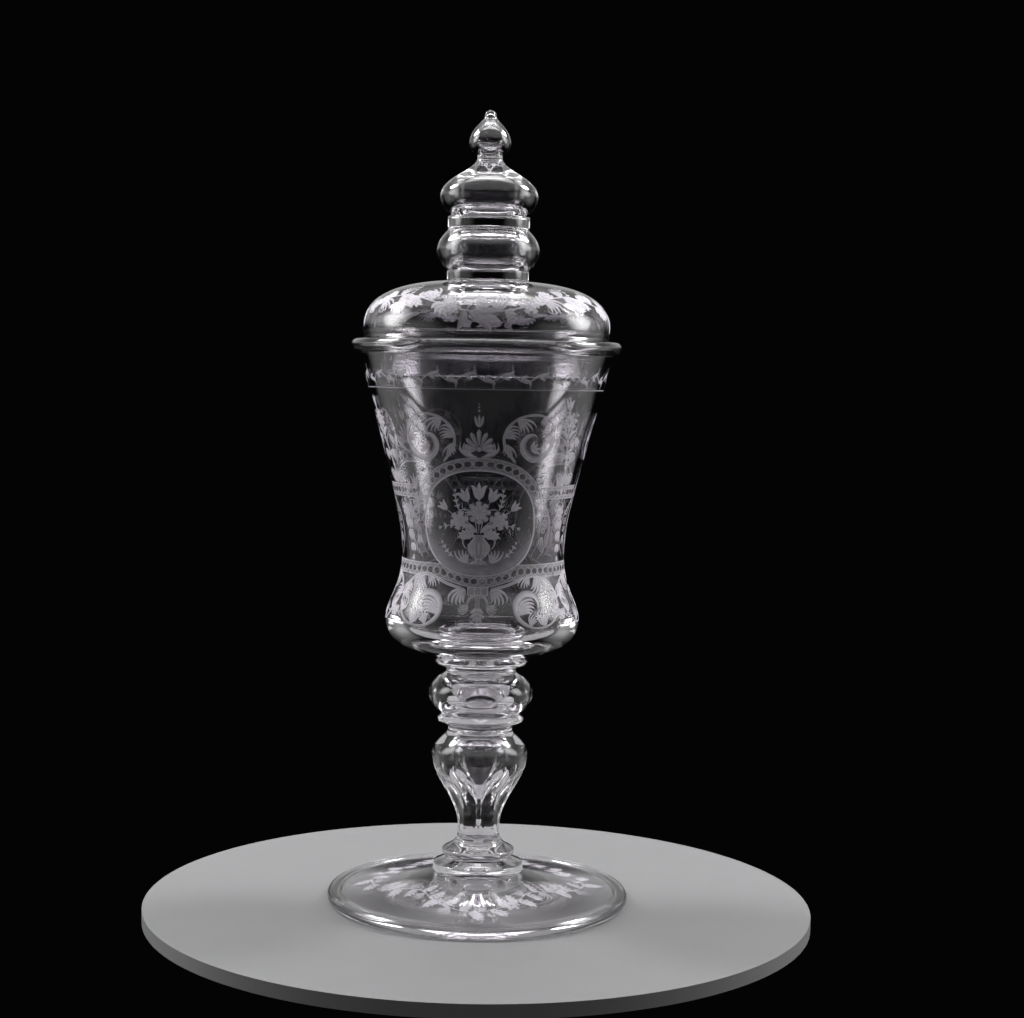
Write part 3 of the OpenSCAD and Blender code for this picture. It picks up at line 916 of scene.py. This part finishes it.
def leaf(pen, length, width, curl, lobes=4):
    """A whole acanthus leaf: pointed lobes on both sides of a bent rib."""
    rib = coil(length, curl, 14, 1.2)
    for side, edges in ((-1, (0.9, 0.45)), (1, (0.45, 0.9))):
        for k in range(lobes):
            t = 0.04 + 0.74 * k / lobes
            p, a = on(rib, t)
            grow = 0.62 * width * math.sin(math.pi * (0.3 + 0.5 * (k + 0.5) / lobes))
            tip = (p + cmath.rect(grow, math.radians(a + side * (66 - 16 * t)))
                   + cmath.rect(0.3 * length / lobes, math.radians(a)))
            pen.cut(curve(p, a + side * 30, tip, a + side * 62, 6), 0.92 * length / lobes, 1.0,
                    *edges, (0.28, 0.8))
    pen.cut(rib[8:], 0.3 * width, 1.0, 0.7, None, (0.3, 0.8))
    pen.cut(rib, 0.1 * width, 1.0, 0.9, None, (0.05, 0.8))


def blade(pen, length, width, curl, tone=1.0):
    """A plain pointed leaf, denser on one side of its rib: partly a deeper cut there, partly painted shade
    that models its relief.
    """
    pen.cut(coil(length, curl, 10, 1.0), width, 0.8 * tone, 0.62, 1.2, (0.55, 0.85))
    pen.cut(coil(0.9 * length, 0.9 * curl, 8, 1.0), 0.05 * length, tone, 0.9, None, (0.1, 0.9))


def ray(length, *shares):
    """Points straight ahead at these shares of a length."""
    return [complex(x * length) for x in shares]


def flower(pen, r, petals=6):
    """A round flower: two rings of petals about a dotted heart."""
    for grow, turn, shade in ((1.0, 0, 0.8), (0.62, 180 / petals, 1.0)):
        for k in range(petals):
            pen.at(0j, 360 * k / petals + turn, grow).cut(
                ray(r, 0.2, 0.45, 0.7, 0.9, 1.0), 0.7 * TURN * r / petals, shade, 0.45, 0.8, (0.8, 0.3))
    for k in range(6):
        pen.dot(cmath.rect(0.17 * r, TURN * k / 6), 0.085 * r)
    pen.dot(0j, 0.09 * r)


def lily(pen, length):
    """A flower seen from the side: a cup whose pointed petals turn out at their tips."""
    wide = 0.5 * length
    pen.cut(ray(length, 0, 0.25, 0.5, 0.75, 1), 0.62 * wide, 0.9, 0.6, 1.1, (0.5, 0.8))
    for side in (-1, 1):
        tip = complex(0.8 * length, side * wide)
        pen.cut(curve(0j, side * 42, tip, side * 84, 8, 0.95), 0.62 * wide, 0.9, 0.55, 1.1, (0.4, 0.85))
        pen.cut(curve(0j, side * 80, complex(0.3 * length, side * 0.46 * wide), side * 60, 5), 0.24 * wide)
    pen.dot(0j, 0.1 * length)


def bell(pen, length):
    """A bellflower of three narrow petals."""
    for side in (-1, 1):
        pen.cut(curve(0j, side * 46, complex(length, side * 0.36 * length), side * 14, 6), 0.3 * length)
    pen.cut(ray(length, 0, 0.4, 0.75, 1.12), 0.26 * length, 1.0, 0.5)


def sprig(pen, length, curl, pairs):
    """A thin twig with pairs of small leaves and a bud at its end."""
    twig = coil(length, curl, 10, 1.0)
    pen.cut(twig, 0.45, 1.0, 0.7, None, (0.05, 0.3))
    each = 0.62 * length / pairs
    for k in range(pairs):
        p, a = on(twig, (k + 0.6) / (pairs + 0.5))
        for side in (-1, 1):
            tip = p + cmath.rect(each, math.radians(a + side * 50))
            pen.cut(curve(p, a + side * 25, tip, a + side * 62, 5), 0.42 * each, 1.0, 0.5, 0.8, (0.4, 0.8))
    bell(pen.at(*on(twig, 1.0)), 0.8 * each)


def tendril(pen, length, turn):
    """A thin curling thread."""
    pen.cut(coil(length, turn, 20, 1.6), 0.38, 0.9, 0.7, None, (0.1, 0.3))


def palmette(pen, r, lobes, spread):
    """A fan of rounded lobes, as on a shell."""
    for k in range(lobes):
        a = spread * (k / (lobes - 1) - 0.5)
        pen.at(0j, a).cut(ray(r * (1 - 0.32 * abs(a) / (spread / 2)), 0.12, 0.35, 0.6, 0.85, 1),
                          0.58 * r * math.radians(spread) / lobes, 0.8, 0.5, 1.15, (0.9, 0.35))
    pen.dot(0j, 0.14 * r)


# The bowl's design comes three times: the turn of the one in front and of all its middles, in degrees.
FRONT = -3.1
TURNS = tuple(FRONT + 120 * k for k in range(3))
# Half width and half height of a medallion, in mm, how square it is, and the height of its middle.
OVAL = 25.4, 23.4, 0.88
OVAL_Z = 174.3
# Height of a beaded band, the middles of the upper and the lower one, the size of a band's faces and the
# distance between its beads.
BAND = 5.2
UPPER_Z, LOWER_Z = 187.0, 153.0
BAND_GRAIN, BEAD_PITCH = 0.42, 3.5
# How wide to each side and how deep the lower band dips under a medallion.
DIP_W, DIP_H = 23, 4.2
# Heights of the twig under the rim and its line, of the upper scrolls, which lie so far aside, of the shell
# between them, and of the clasp and the spray that part the lower scrolls.
TWIG_Z, LINE_Z = 236.6, 231.6
SCROLL_Z, SCROLL_ASIDE = 211.4, 22.6
SHELL_Z, CLASP_Z, SPRAY_Z = 202.4, 144.6, 137


def oval(grow, first, last, steps):
    """Part of the medallion's outline, grown by so many mm, between two angles in degrees."""
    made = []
    for i in range(steps + 1):
        a = math.radians(first + (last - first) * i / steps)
        c, s = math.cos(a), math.sin(a)
        made.append(complex(math.copysign((OVAL[0] + grow) * abs(c)**OVAL[2], c),
                            math.copysign((OVAL[1] + grow) * abs(s)**OVAL[2], s)))
    return made


def length_of(spine):
    """Length of a spine in mm."""
    return sum(abs(q - p) for p, q in zip(spine, spine[1:]))


def beaded(pen, low_edge, high_edge):
    """A matt band between two bright lines, with a row of clear, ringed beads."""
    length, height = length_of(low_edge), abs(high_edge[0] - low_edge[0])
    number, bead_r = max(1, round(length / BEAD_PITCH)), 0.3 * height

    def tone(along, up):
        """Clear in a bead, bright on its ring, grey outside."""
        x = (along * number % 1 - 0.5) * length / number
        away = math.hypot(x, (up - 0.5) * height) / bead_r
        return 0.08 if away < 0.85 else 0.9 if away < 1.2 else 0.5

    pen.ground(low_edge, high_edge, round(height / BAND_GRAIN), tone)
    pen.line(low_edge, 0.7)
    pen.line(high_edge, 0.7)


class GOBLET_OT_bowl_engraving(bpy.types.Operator):
    """Engraves the bowl: medallions, beaded bands, acanthus scrolls and a leafy border"""

    bl_idname = "goblet.bowl_engraving"
    bl_label = "Bowl engraving"

    def execute(self, context):
        skin = Skin(bowl_outside(settings("bowl")))
        # dense is set for each design to match how bright it shows under this light: partly how densely it is
        # cut, partly painted light and shade.
        for draw, turns, dense in ((self.rim_border, TURNS, 1.0), (self.upper_scrolls, TURNS, 0.8),
                                   (self.medallions, TURNS, 1.3), (self.beaded_bands, TURNS, 0.64),
                                   (self.side_sprays, TURNS[::2], 0.9), (self.lower_scrolls, TURNS, 0.95)):
            sheet = Sheet()
            draw(Pen(sheet), skin)
            sheet.build(draw.__name__, GOBLET, skin, turns, dense, BACK_SHADE)
        return {"FINISHED"}

    def rim_border(self, pen, skin):
        """A running twig with leaves over a line under the rim."""
        waves, sway, steps = 7, 1.9, 112
        pen.line([skin.place(-60 + 2 * i, LINE_Z) for i in range(61)], 0.4, 0.5)
        twig = [skin.place(-60 + 120 * i / steps, TWIG_Z + sway * math.sin(TURN * waves * i / steps))
                for i in range(steps + 1)]
        pen.cut(twig, 0.6, 0.6, 0.7, None, (0.01, 0.01))
        for k in range(2 * waves):
            side = 1 if k % 2 else -1
            p, a = on(twig, (k + 0.25) / (2 * waves))
            blade(pen.at(p, a + side * 40), 5.4, 2.0, -side * 70, 0.65)
            blade(pen.at(p, a + side * 84), 4.0, 1.6, -side * 50, 0.65)
            p, a = on(twig, (k + 0.75) / (2 * waves))
            for n, r in enumerate((0.5, 0.42, 0.34)):
                pen.dot(p - side * 1j * (1.5 + 1.0 * n), r, 0.6)

    def upper_scrolls(self, pen, skin):
        """Two acanthus scrolls on the medallion's shoulders, and a shell between them."""
        path = chain((6.6 - 12.0j, 62), (10.9 - 5.9j, 58), (12.0 - 1.5j, 86), (10.7 + 3.4j, 112),
                     (6.8 + 7.4j, 142), (1.9 + 9.4j, 166), (-3.6 + 9.9j, 184), (-9.0 + 7.9j, 218),
                     (-11.8 + 3.9j, 256), (-11.8 - 0.5j, 277), (-10.1 - 4.4j, 303), (-6.8 - 7.9j, 322),
                     (-3.0 - 9.6j, 352), (0.8 - 8.8j, 40), (3.0 - 6.2j, 68), (3.4 - 3.4j, 95),
                     (1.9 - 0.5j, 132), (-0.8 + 0.8j, 168), (-3.0 + 0.2j, 226), steps=5)
        for here in pen.at(skin.place(0, SCROLL_Z)).both():
            here = here.at(SCROLL_ASIDE, 180, 1.0, True)
            here.cut(path[42:], 3.2, 0.6, 1.5, 0.5, (0.6, 0.6))
            for t, width in ((46, 0.4), (49, 0.36)):
                here.cut(path[t:86], width, 1.0, 0.9)
            for p, turn, *sizes in ((11.2 - 3.2j, 210, 7.4, 60), (11.4 - 0.4j, 96, 9.4, 150),
                                    (6.0 + 7.4j, 170, 9.6, 85), (-6.4 + 8.8j, 226, 5.6, 70),
                                    (-11.2 - 2.2j, 84, 8.4, -110)):
                frond(here.at(p, turn), *sizes)
            here.stem(path[:52], 1.2)
            for turn in (96, 126, 156, 186):
                blade(here.at(-0.4 - 5.8j, turn), 4.6, 1.6, 30)
            for t in (58, 62, 66, 70):
                q, a = on(path, t / 90)
                blade(here.at(q, a - 40), 2.6, 1.1, 50, 0.8)
        top_mark = skin.place(0, SHELL_Z)
        for here in pen.both(top_mark):
            here.stem(chain((0.6, 15), (5.2 + 2.4j, 80), (3.4 + 4.6j, 178), (2.2 + 3.2j, 275), steps=7), 1.0)
            frond(here.at(4.6 + 0.8j, 28), 7.4, 100)
            blade(here.at(2.0 + 0.6j, 8), 8.0, 2.2, 40)
        palmette(pen.at(top_mark + 3.8j, 90), 9.0, 9, 200)
        for k in range(7):
            pen.dot(top_mark + 3.8j + cmath.rect(3.4, math.radians(90 + 26 * (k - 3))), 0.4, 0.9)
        bell(pen.at(top_mark + 13.6j, 90), 5.0)
        for n, r in ((20.8, 0.6), (22.4, 0.45), (23.7, 0.35)):
            pen.dot(top_mark + 1j * n, r)

    def medallions(self, pen, skin):
        """A vase of flowers in an oval."""
        here = pen.at(skin.place(0, OVAL_Z))
        here.line(oval(0, 0, 360, 120), 0.9)
        floor_low = oval(-0.6, 196, 344, 44)
        floor_high = [complex(p.real, -4.5 - 2.0 * math.cos(p.real / 7)) for p in floor_low]
        here.ground(floor_low, floor_high, 9, lambda along, up: 0.4 * (1 - up)**1.2)
        vase = ((-18.2, 4.2), (-17.2, 2.8), (-16.2, 1.3), (-14.8, 3.2), (-12.6, 4.7), (-10.2, 4.9),
                (-8.2, 3.4), (-7.0, 2.4), (-5.8, 3.4))
        left, right = ([complex(s * w, y) for y, w in vase] for s in (-1, 1))
        # The vase's tone rises to both its edges: partly the engraver's modelling, partly painted shade that
        # rounds its body.
        here.ground(right, left, 8, lambda along, up: 0.42 + 0.5 * abs(2 * up - 1)**2)
        for n in range(-2, 3):
            here.cut([complex(0.42 * n * w, y) for y, w in vase[3:7]], 0.9, 1.0, 0.4)
        for y, w in ((-18.2, 8.6), (-16.2, 3.2), (-5.8, 7.2)):
            here.line([complex(x * w / 2, y) for x in (-1, -0.5, 0, 0.5, 1)], 0.6)
        here.cut([complex(0, y) for y in (-5.6, -1, 3, 5)], 0.5)
        for half in here.both():
            half.stem(chain((3.2 - 7.2j, 20), (7.0 - 8.2j, 270), (4.8 - 11.8j, 190), steps=6), 0.8)
            frond(half.at(4.8 - 17.8j, 14), 8.0, 80)
            sprig(half.at(11.0 - 15.6j, 34), 8.0, 30, 3)
            leaf(half.at(2.0 - 5.0j, 6), 8.0, 4.4, -50)
            blade(half.at(1.0 - 4.4j, 48), 8.4, 2.4, -50)
            for p, a, kind, grown in ((8.6 + 0.8j, 40, flower, 4.2), (5.0 + 9.6j, 62, lily, 6.4),
                                      (14.4 + 5.6j, 42, lily, 5.0)):
                half.cut(curve(0.6 - 5.4j, 84, p, a), 0.5)
                kind(half.at(p, a), grown)
            sprig(half.at(4.0 - 2.4j, 20), 13.0, -40, 4)
            sprig(half.at(8.6 + 5.4j, 64), 8.4, 26, 3)
            tendril(half.at(4.4 + 5.2j, 30), 8.0, -250)
        flower(here.at(0 + 4.4j), 5.2, 8)
        lily(here.at(0 + 10.6j, 90), 7.4)

    def beaded_bands(self, pen, skin):
        """The beaded bands round the bowl, which arch over a medallion and dip under it."""
        here = pen.at(skin.place(0, OVAL_Z))
        beaded(here, oval(0.2, 166, 14, 150), oval(BAND, 166, 14, 150))
        half = BAND / 2
        for first, last in ((42, 60), (-60, -42)):
            angles = [first + (last - first) * i / 24 for i in range(25)]
            beaded(pen, *([skin.place(a, UPPER_Z + rise) for a in angles] for rise in (-half, half)))
        roof, drop = skin.along(LOWER_Z + half), skin.along(LOWER_Z - half)
        one_radian = 57.3
        middle, girth = skin.along(OVAL_Z), skin.place(one_radian, LOWER_Z).real
        lower, upper = [], []
        for i in range(181):
            u = math.radians(-60 + 120 * i / 180) * girth
            dip = math.cos(min(1, abs(u) / DIP_W) * TURN / 4)**2
            under = -OVAL[1] * (1 - min(1, abs(u) / OVAL[0])**(2 / OVAL[2]))**(OVAL[2] / 2)
            lower.append(complex(u, drop - DIP_H * dip))
            upper.append(complex(u, min(roof, middle + under)))
        beaded(pen, lower, upper)
        for hand in here.both():
            hand.stem(chain((28.8 + 8.6j, -25), (34.6 - 1.0j, -84), (27.0 - 17.0j, -138), steps=12), 1.1)
            hand.stem(chain((28.6 + 8.0j, -72), (28.4 - 6.0j, -94), (23.0 - 16.4j, -124), steps=12), 0.8, 0.8)
            for x, y, r in ((31.4, 4.2, 1.7), (31.4, -0.4, 1.25), (30.6, -4.0, 1.0)):
                hand.ring(complex(x, y), r)
                hand.dot(complex(x, y), 0.35 * r)
            bell(hand.at(29.8 - 6.6j, -100), 4.2)

    def side_sprays(self, pen, skin):
        """Flowers on tall stems between the scrolls, and hung drops between the medallions."""
        mark = skin.place(60, UPPER_Z + BAND / 2 + 0.6)
        for here in pen.both(mark):
            frond(here.at(0.6 + 0j, 14), 9.0, 120)
            frond(here.at(0.8 + 2.0j, 58), 8.0, -130)
            frond(here.at(0.8 + 13.0j, 40), 7.6, -150)
            here.cut(curve(0.4 + 17.0j, 66, 5.8 + 21.6j, -30), 0.5)
            bell(here.at(5.8 + 21.6j, -56), 4.6)
            sprig(here.at(0.6 + 23.0j, 46), 9.6, 24, 3)
            blade(here.at(0.4 + 21.0j, 64), 7.0, 2.0, -60)
        pen.stem([mark + 2j * n for n in range(14)], 1.3, 1.0, (0.1, 0.1))
        for n, r in ((8.0, 1.2), (13.0, 1.6), (20.0, 1.1)):
            pen.dot(mark + 1j * n, r)
        flower(pen.at(mark + 29j), 4.8, 8)
        lily(pen.at(mark + 34j, 90), 5.6)
        hook = skin.place(60, UPPER_Z - BAND / 2 - 1)
        flower(pen.at(hook - 5.4j), 3.6, 7)
        for here in pen.both(hook):
            tendril(here.at(0.4 - 0.6j, -20), 8.0, -240)
            for n, grown in ((8.0, 5.6), (14.0, 4.8), (20.0, 4.0)):
                blade(here.at(-1j * n, -36), grown, 1.7, -60)
        for n, grown in ((9.4, 4.4), (15.0, 3.8), (20.4, 3.2), (25.0, 2.6)):
            bell(pen.at(hook - 1j * n, -90), grown)

    def lower_scrolls(self, pen, skin):
        """Big acanthus scrolls on the bulb, and a clasp with a hanging leaf and a spray that part them."""
        path = chain((5.1 + 0.9j, 8), (17.0 + 4.3j, 24), (23.0 + 6.4j, 8), (29.6 + 5.5j, -18),
                     (35.8 + 2.0j, -42), (39.6 - 3.2j, -70), (40.4 - 8.4j, -94), (38.4 - 13.0j, -132),
                     (33.6 - 16.0j, -166), (27.2 - 16.6j, 178), (21.4 - 14.7j, 150), (17.5 - 10.7j, 114),
                     (16.6 - 6.1j, 88), (18.2 - 2.4j, 48), (22.3 - 0.8j, 0), (26.3 - 2.6j, -46),
                     (28.3 - 5.8j, -78), (27.8 - 8.6j, -108), steps=5)
        clasp = skin.place(0, CLASP_Z)
        for here in pen.both(clasp):
            here.stem(path[:60], 1.3)
            here.cut(path[44:], 2.4, 0.7, 1.3, 0.5, (0.6, 0.7))
            for p, turn, *sizes in (
                    (5.2 + 0.4j, 6, 10.6, -120), (23.4 + 6.2j, 186, 7.4, 85),
                    (26.0 + 6.4j, -14, 11.6, -160), (40.0 - 4.0j, 112, 8.8, 120),
                    (40.0 - 11.0j, 158, 9.0, -110), (32.6 - 15.8j, 158, 9.8, -130),
                    (17.8 - 10.8j, 96, 13.2, -150, 6), (24.6 - 15.6j, 120, 7.0, -120),
                    (4.3 - 6.0j, -94, 6.6, 150)):
                frond(here.at(p, turn), *sizes)
            here.stem(chain((0.8 - 2.2j, 30), (3.6 - 3.4j, -56), (4.3 - 6.4j, -92), steps=6), 1.3)
            for y in (-1.7, 1.7):
                here.line([complex(x, y) for x in (0, 1.5, 3, 4.5)])
            for x in (1.4, 4.3):
                here.line([complex(x, y) for y in (-1.8, 0, 1.8)])
        pen.ground(*([clasp + complex(-4.2 + 0.6 * i, y) for i in range(15)] for y in (-1.6, 1.6)), 3,
                   lambda along, up: 0.5)
        for x in (-0.8, 0, 0.8):
            pen.line([clasp + complex(x, -n) for n in (1.8, 4, 6.5, 9)], 0.5, 0.8)
        leaf(pen.at(clasp - 7.4j, -90), 7.4, 5.6, 0, 3)
        spray = skin.place(60, SPRAY_Z)
        lily(pen.at(spray + 9.4j, -90), 6.4)
        for here in pen.both(spray):
            frond(here.at(0.6 + 10.4j, -30), 6.4, -110)
            for turn in (-20, 36, -80):
                sprig(here.at(0.6 - 3.0j, turn), 5.6, 20, 2)
        flower(pen.at(spray - 3.0j), 2.2, 6)


# How often a garland repeats round its piece, and the turn of its first stretch, in degrees.
STRETCHES, FIRST_TURN = 4, 20
# What grows on one stretch of a garland: the plant, its place along in parts of the stretch, its height
# over the middle in quarters of the stem's sway, its angle in degrees, and its sizes before it is grown.
COVER_GARLAND = (
    (leaf, 0.05, -0.6, 66, 10.0, 5.0, -70), (frond, 0.09, 0.8, 20, 10.0, -110),
    (leaf, 0.16, 3.0, 120, 7.4, 3.8, 60), (lily, 0.25, 3.8, -40, 10.5), (frond, 0.22, 4.0, 40, 9.0, 100),
    (leaf, 0.34, 3.4, -66, 8.4, 4.2, 60), (leaf, 0.37, 3.0, 34, 10.5, 5.0, -80),
    (frond, 0.47, 0.8, 58, 10.0, 110), (leaf, 0.50, 0.0, -62, 9.6, 4.8, 70),
    (frond, 0.55, -1.4, 12, 9.6, 110), (lily, 0.70, -4.0, -20, 10.5),
    (blade, 0.66, -3.6, -84, 8.0, 2.8, -40), (leaf, 0.74, -4.2, 66, 10.0, 5.0, 70),
    (frond, 0.82, -3.6, 30, 10.0, 110), (leaf, 0.88, -2.6, -60, 7.6, 3.8, -60),
    (sprig, 0.30, 3.8, 82, 8.0, 20, 3), (tendril, 0.12, 2.0, -30, 14.0, -300),
    (tendril, 0.58, -2.0, 60, 15.0, -300), (tendril, 0.92, -1.8, 50, 13.0, 280),
    (flower, 0.0, -1.0, 0, 3.8, 6), (flower, 0.60, -2.8, 10, 3.0, 6))
FOOT_GARLAND = (
    (leaf, 0.03, -0.3, 70, 8.0, 4.4, 60), (leaf, 0.08, 1.0, -28, 8.5, 4.6, -70),
    (frond, 0.16, 2.9, 62, 7.0, 110), (leaf, 0.20, 3.6, -44, 8.0, 4.4, -60),
    (leaf, 0.29, 3.8, 40, 8.5, 4.4, 70), (frond, 0.33, 3.3, -60, 7.6, -110),
    (leaf, 0.41, 1.8, 24, 8.5, 4.6, 70), (leaf, 0.46, 0.8, -72, 7.6, 4.2, -60),
    (leaf, 0.55, -1.2, 26, 8.5, 4.6, 70), (frond, 0.60, -2.2, -62, 7.4, -110),
    (leaf, 0.68, -3.5, 44, 8.0, 4.4, 60), (leaf, 0.74, -4.0, -40, 8.0, 4.4, -70),
    (frond, 0.81, -3.6, 60, 7.6, 110), (leaf, 0.86, -3.0, -26, 8.0, 4.4, -60),
    (leaf, 0.94, -1.4, 66, 8.0, 4.4, 60), (sprig, 0.38, 2.6, 66, 8.0, 20, 3),
    (sprig, 0.78, -4.0, -70, 8.0, -20, 3), (tendril, 0.25, 4.0, 100, 8.0, 260),
    (tendril, 0.64, -3.0, 100, 8.0, 280), (flower, 0.0, -1.0, 0, 3.8, 6), (flower, 0.50, 0.0, 20, 3.2, 6))


def garland(pen, start, stretch, sway, plants, grow):
    """One stretch of a garland: a winding stem and what grows on it."""
    stem = chain((start - 1j, 22), (start + complex(stretch / 4, sway), 0),
                 (start + complex(stretch / 2, 0), -22), (start + complex(0.75 * stretch, -sway), 0),
                 (start + complex(stretch, -1), 22), steps=16)
    pen.cut(stem, 0.8, 1.0, 0.6, None, (0.01, 0.01))
    for plant, x, y, turn, *sizes in plants:
        plant(pen.at(start + complex(x * stretch, 0.25 * y * sway), turn, grow), *sizes)


class GOBLET_OT_garlands(bpy.types.Operator):
    """Engraves the garlands of leaves and flowers on the cover's dome and on the foot"""

    bl_idname = "goblet.garlands"
    bl_label = "Garlands"

    def execute(self, context):
        cover, foot = settings("cover"), settings("foot")
        plate = foot_outline(foot)[-(MANY + 3):-2]
        dome = dome_outside(cover, settings("bowl"))
        # The foot's garland shows much less of its tone than the dome's: painted shade, offsetting the full
        # light on the plate, which faces up.
        for name, body, outline, girth, start, sway, plants, grow, dense in (
                ("cover_garland", LID, dome, 47.0, 268.0, 4.6, COVER_GARLAND, 1.1, 0.9),
                ("foot_garland", GOBLET, plate, 46.0, 8.4, 7.0, FOOT_GARLAND, 1.2, 0.42)):
            skin, sheet = Skin(outline, girth), Sheet()
            garland(Pen(sheet), skin.place(0, start), TURN * girth / STRETCHES, sway, plants, grow)
            turns = [360 / STRETCHES * k + FIRST_TURN for k in range(STRETCHES)]
            sheet.build(name, body, skin, turns, dense)
        return {"FINISHED"}


def lamp(name, centre, aim_at, width, height, brightness, fade):
    """A soft box that shows in glass but not before the camera; its face fades towards its edges."""
    data = bpy.data.lights.new(name, "AREA")
    data.shape, data.size, data.size_y = "RECTANGLE", width, height
    data.energy = WHITE_POWER * width * height * brightness
    start = new_tree(data)
    face = start.add("ShaderNodeSeparateXYZ", {}, {
        "Vector": start.add("ShaderNodeNewGeometry", out="Parametric")})
    across, up = face - 0.5, face.other("Y") - 0.5
    inner = start.maths("MAXIMUM", 1 - 4 * (across * across + up * up), 0)
    glow = start.add("ShaderNodeEmission", {}, {"Strength": start.maths("POWER", inner, fade)})
    start.add("ShaderNodeOutputLight", {}, {"Surface": glow})
    box = bpy.data.objects.new(name, data)
    bpy.context.scene.collection.objects.link(box)
    box.location = centre
    box.rotation_euler = (Vector(aim_at) - Vector(centre)).to_track_quat("-Z", "Y").to_euler()
    box.visible_camera = False


class GOBLET_OT_stage(bpy.types.Operator):
    """Sets up the floor, the soft studio light and the camera"""

    bl_idname = "goblet.stage"
    bl_label = "Stage"

    def execute(self, context):
        g = settings("stage")
        scene = context.scene
        deselect()
        bpy.ops.mesh.primitive_circle_add(vertices=192, radius=FLOOR_R, fill_type="NGON")
        floor = context.object
        floor.name = "floor"
        bpy.ops.object.mode_set(mode="EDIT")
        bpy.ops.mesh.extrude_region_move(TRANSFORM_OT_translate={"value": (0, 0, -FLOOR_T)})
        bpy.ops.mesh.select_all(action="SELECT")
        bpy.ops.mesh.normals_make_consistent(inside=False)
        bpy.ops.object.mode_set(mode="OBJECT")
        floor.data.materials.append(material("pale_floor"))

        world = bpy.data.worlds.new("studio")
        scene.world = world
        start = new_tree(world)
        path = start.add("ShaderNodeLightPath", out="Is Camera Ray")
        bent = path.other("Is Transmission Ray")
        mirrored = path.other("Is Glossy Ray") * (1 - bent)
        seen = (path + mirrored + bent).at_most(1.0)
        way = start.add("ShaderNodeSeparateXYZ", {}, {
            "Vector": start.add("ShaderNodeTexCoord", out="Generated")})

        def between(value, low, high):
            """Rises softly from 0 to 1 between two values."""
            return start.add("ShaderNodeMapRange", {"interpolation_type": "SMOOTHSTEP"}, {
                "Value": value, "From Min": low, "From Max": high})

        up = way.other("Z")
        aside = between(start.maths("ABSOLUTE", way, 0), 0.6, 0.92)
        walls = aside * (mirrored * between(up, -0.55, -0.3) * between(up, 0.4, 0.1)
                         + 0.4 * bent * between(up, -0.15, 0.3))
        ceiling = (0.25 * bent + mirrored) * between(up, 0.3, 0.75)
        behind = mirrored * between(way.other("Y"), 0, 0.3) * between(up, 0.03, 0.15) * between(up, 0.5, 0.3)
        strength = (g.around - seen * (g.around - g.dark) + g.walls * walls
                    + g.ceiling * (ceiling + 0.5 * behind))
        sky = start.add("ShaderNodeBackground", {}, {"Color": (1, 1, 1, 1), "Strength": strength})
        start.add("ShaderNodeOutputWorld", {}, {"Surface": sky})

        for name, (x, y, z), aim_z, width, height, brightness, fade in (
                ("soft_box", (0.6, 0.28, 0.79), 0.24, 0.34, 0.34, g.sides, 2),
                ("screen", (0.74, 0.08, 0.5), 0.22, 0.5, 0.7, g.screens, 1.5)):
            for hand, side in (("left", -1), ("right", 1)):
                lamp(f"{name}_{hand}", (side * x, y, z), (0, 0, aim_z), width, height, brightness, fade)
        lamp("soft_box_above", (0, 0.15, 0.95), (0, 0, 0.27), 0.9, 0.3, g.above, 1)

        data = bpy.data.cameras.new("camera")
        data.sensor_width, data.lens = SENSOR_W, SENSOR_W * FOCAL_PX / WIDTH_PX
        data.clip_start, data.clip_end = 0.01, 20
        camera = bpy.data.objects.new("camera", data)
        scene.collection.objects.link(camera)
        camera.matrix_world = (Matrix.Translation(CAMERA_AT)
                               @ Matrix.Rotation(math.radians(CAMERA_YAW), 4, "Z")
                               @ Matrix.Rotation(math.radians(90 - CAMERA_PITCH), 4, "X")
                               @ Matrix.Rotation(math.radians(CAMERA_ROLL), 4, "Z"))
        scene.camera = camera
        scene.view_settings.view_transform = "Standard"
        scene.cycles.max_bounces = 32
        scene.cycles.transmission_bounces = 32
        scene.cycles.glossy_bounces = 16
        scene.cycles.transparent_max_bounces = 48
        return {"FINISHED"}


STEPS = (GOBLET_OT_foot, GOBLET_OT_stem, GOBLET_OT_bowl, GOBLET_OT_cover, GOBLET_OT_finial,
         GOBLET_OT_bowl_engraving, GOBLET_OT_garlands, GOBLET_OT_stage)


class VIEW3D_PT_goblet(bpy.types.Panel):
    """Sizes and finishes of the goblet, and the steps that model it"""

    bl_label = "Goblet"
    bl_space_type = "VIEW_3D"
    bl_region_type = "UI"
    bl_category = "Goblet"

    def draw(self, context):
        for name, group in GROUPS:
            box = self.layout.box()
            box.label(text=group.__doc__)
            for field in group.__annotations__:
                box.prop(getattr(context.scene, name), field)
        for step in STEPS:
            self.layout.operator(step.bl_idname)


def register():
    """Makes the settings, the steps and the panel known to Blender."""
    for name, group in GROUPS:
        bpy.utils.register_class(group)
        setattr(bpy.types.Scene, name, bpy.props.PointerProperty(type=group))
    for cls in (*STEPS, VIEW3D_PT_goblet):
        bpy.utils.register_class(cls)


def unregister():
    """Takes them out again."""
    for cls in (VIEW3D_PT_goblet, *reversed(STEPS)):
        bpy.utils.unregister_class(cls)
    for name, group in reversed(GROUPS):
        delattr(bpy.types.Scene, name)
        bpy.utils.unregister_class(group)


def main():
    """Models the goblet step by step."""
    register()
    for step in STEPS:
        group, name = step.bl_idname.split(".")
        getattr(getattr(bpy.ops, group), name)()


if __name__ == "__main__":
    main()
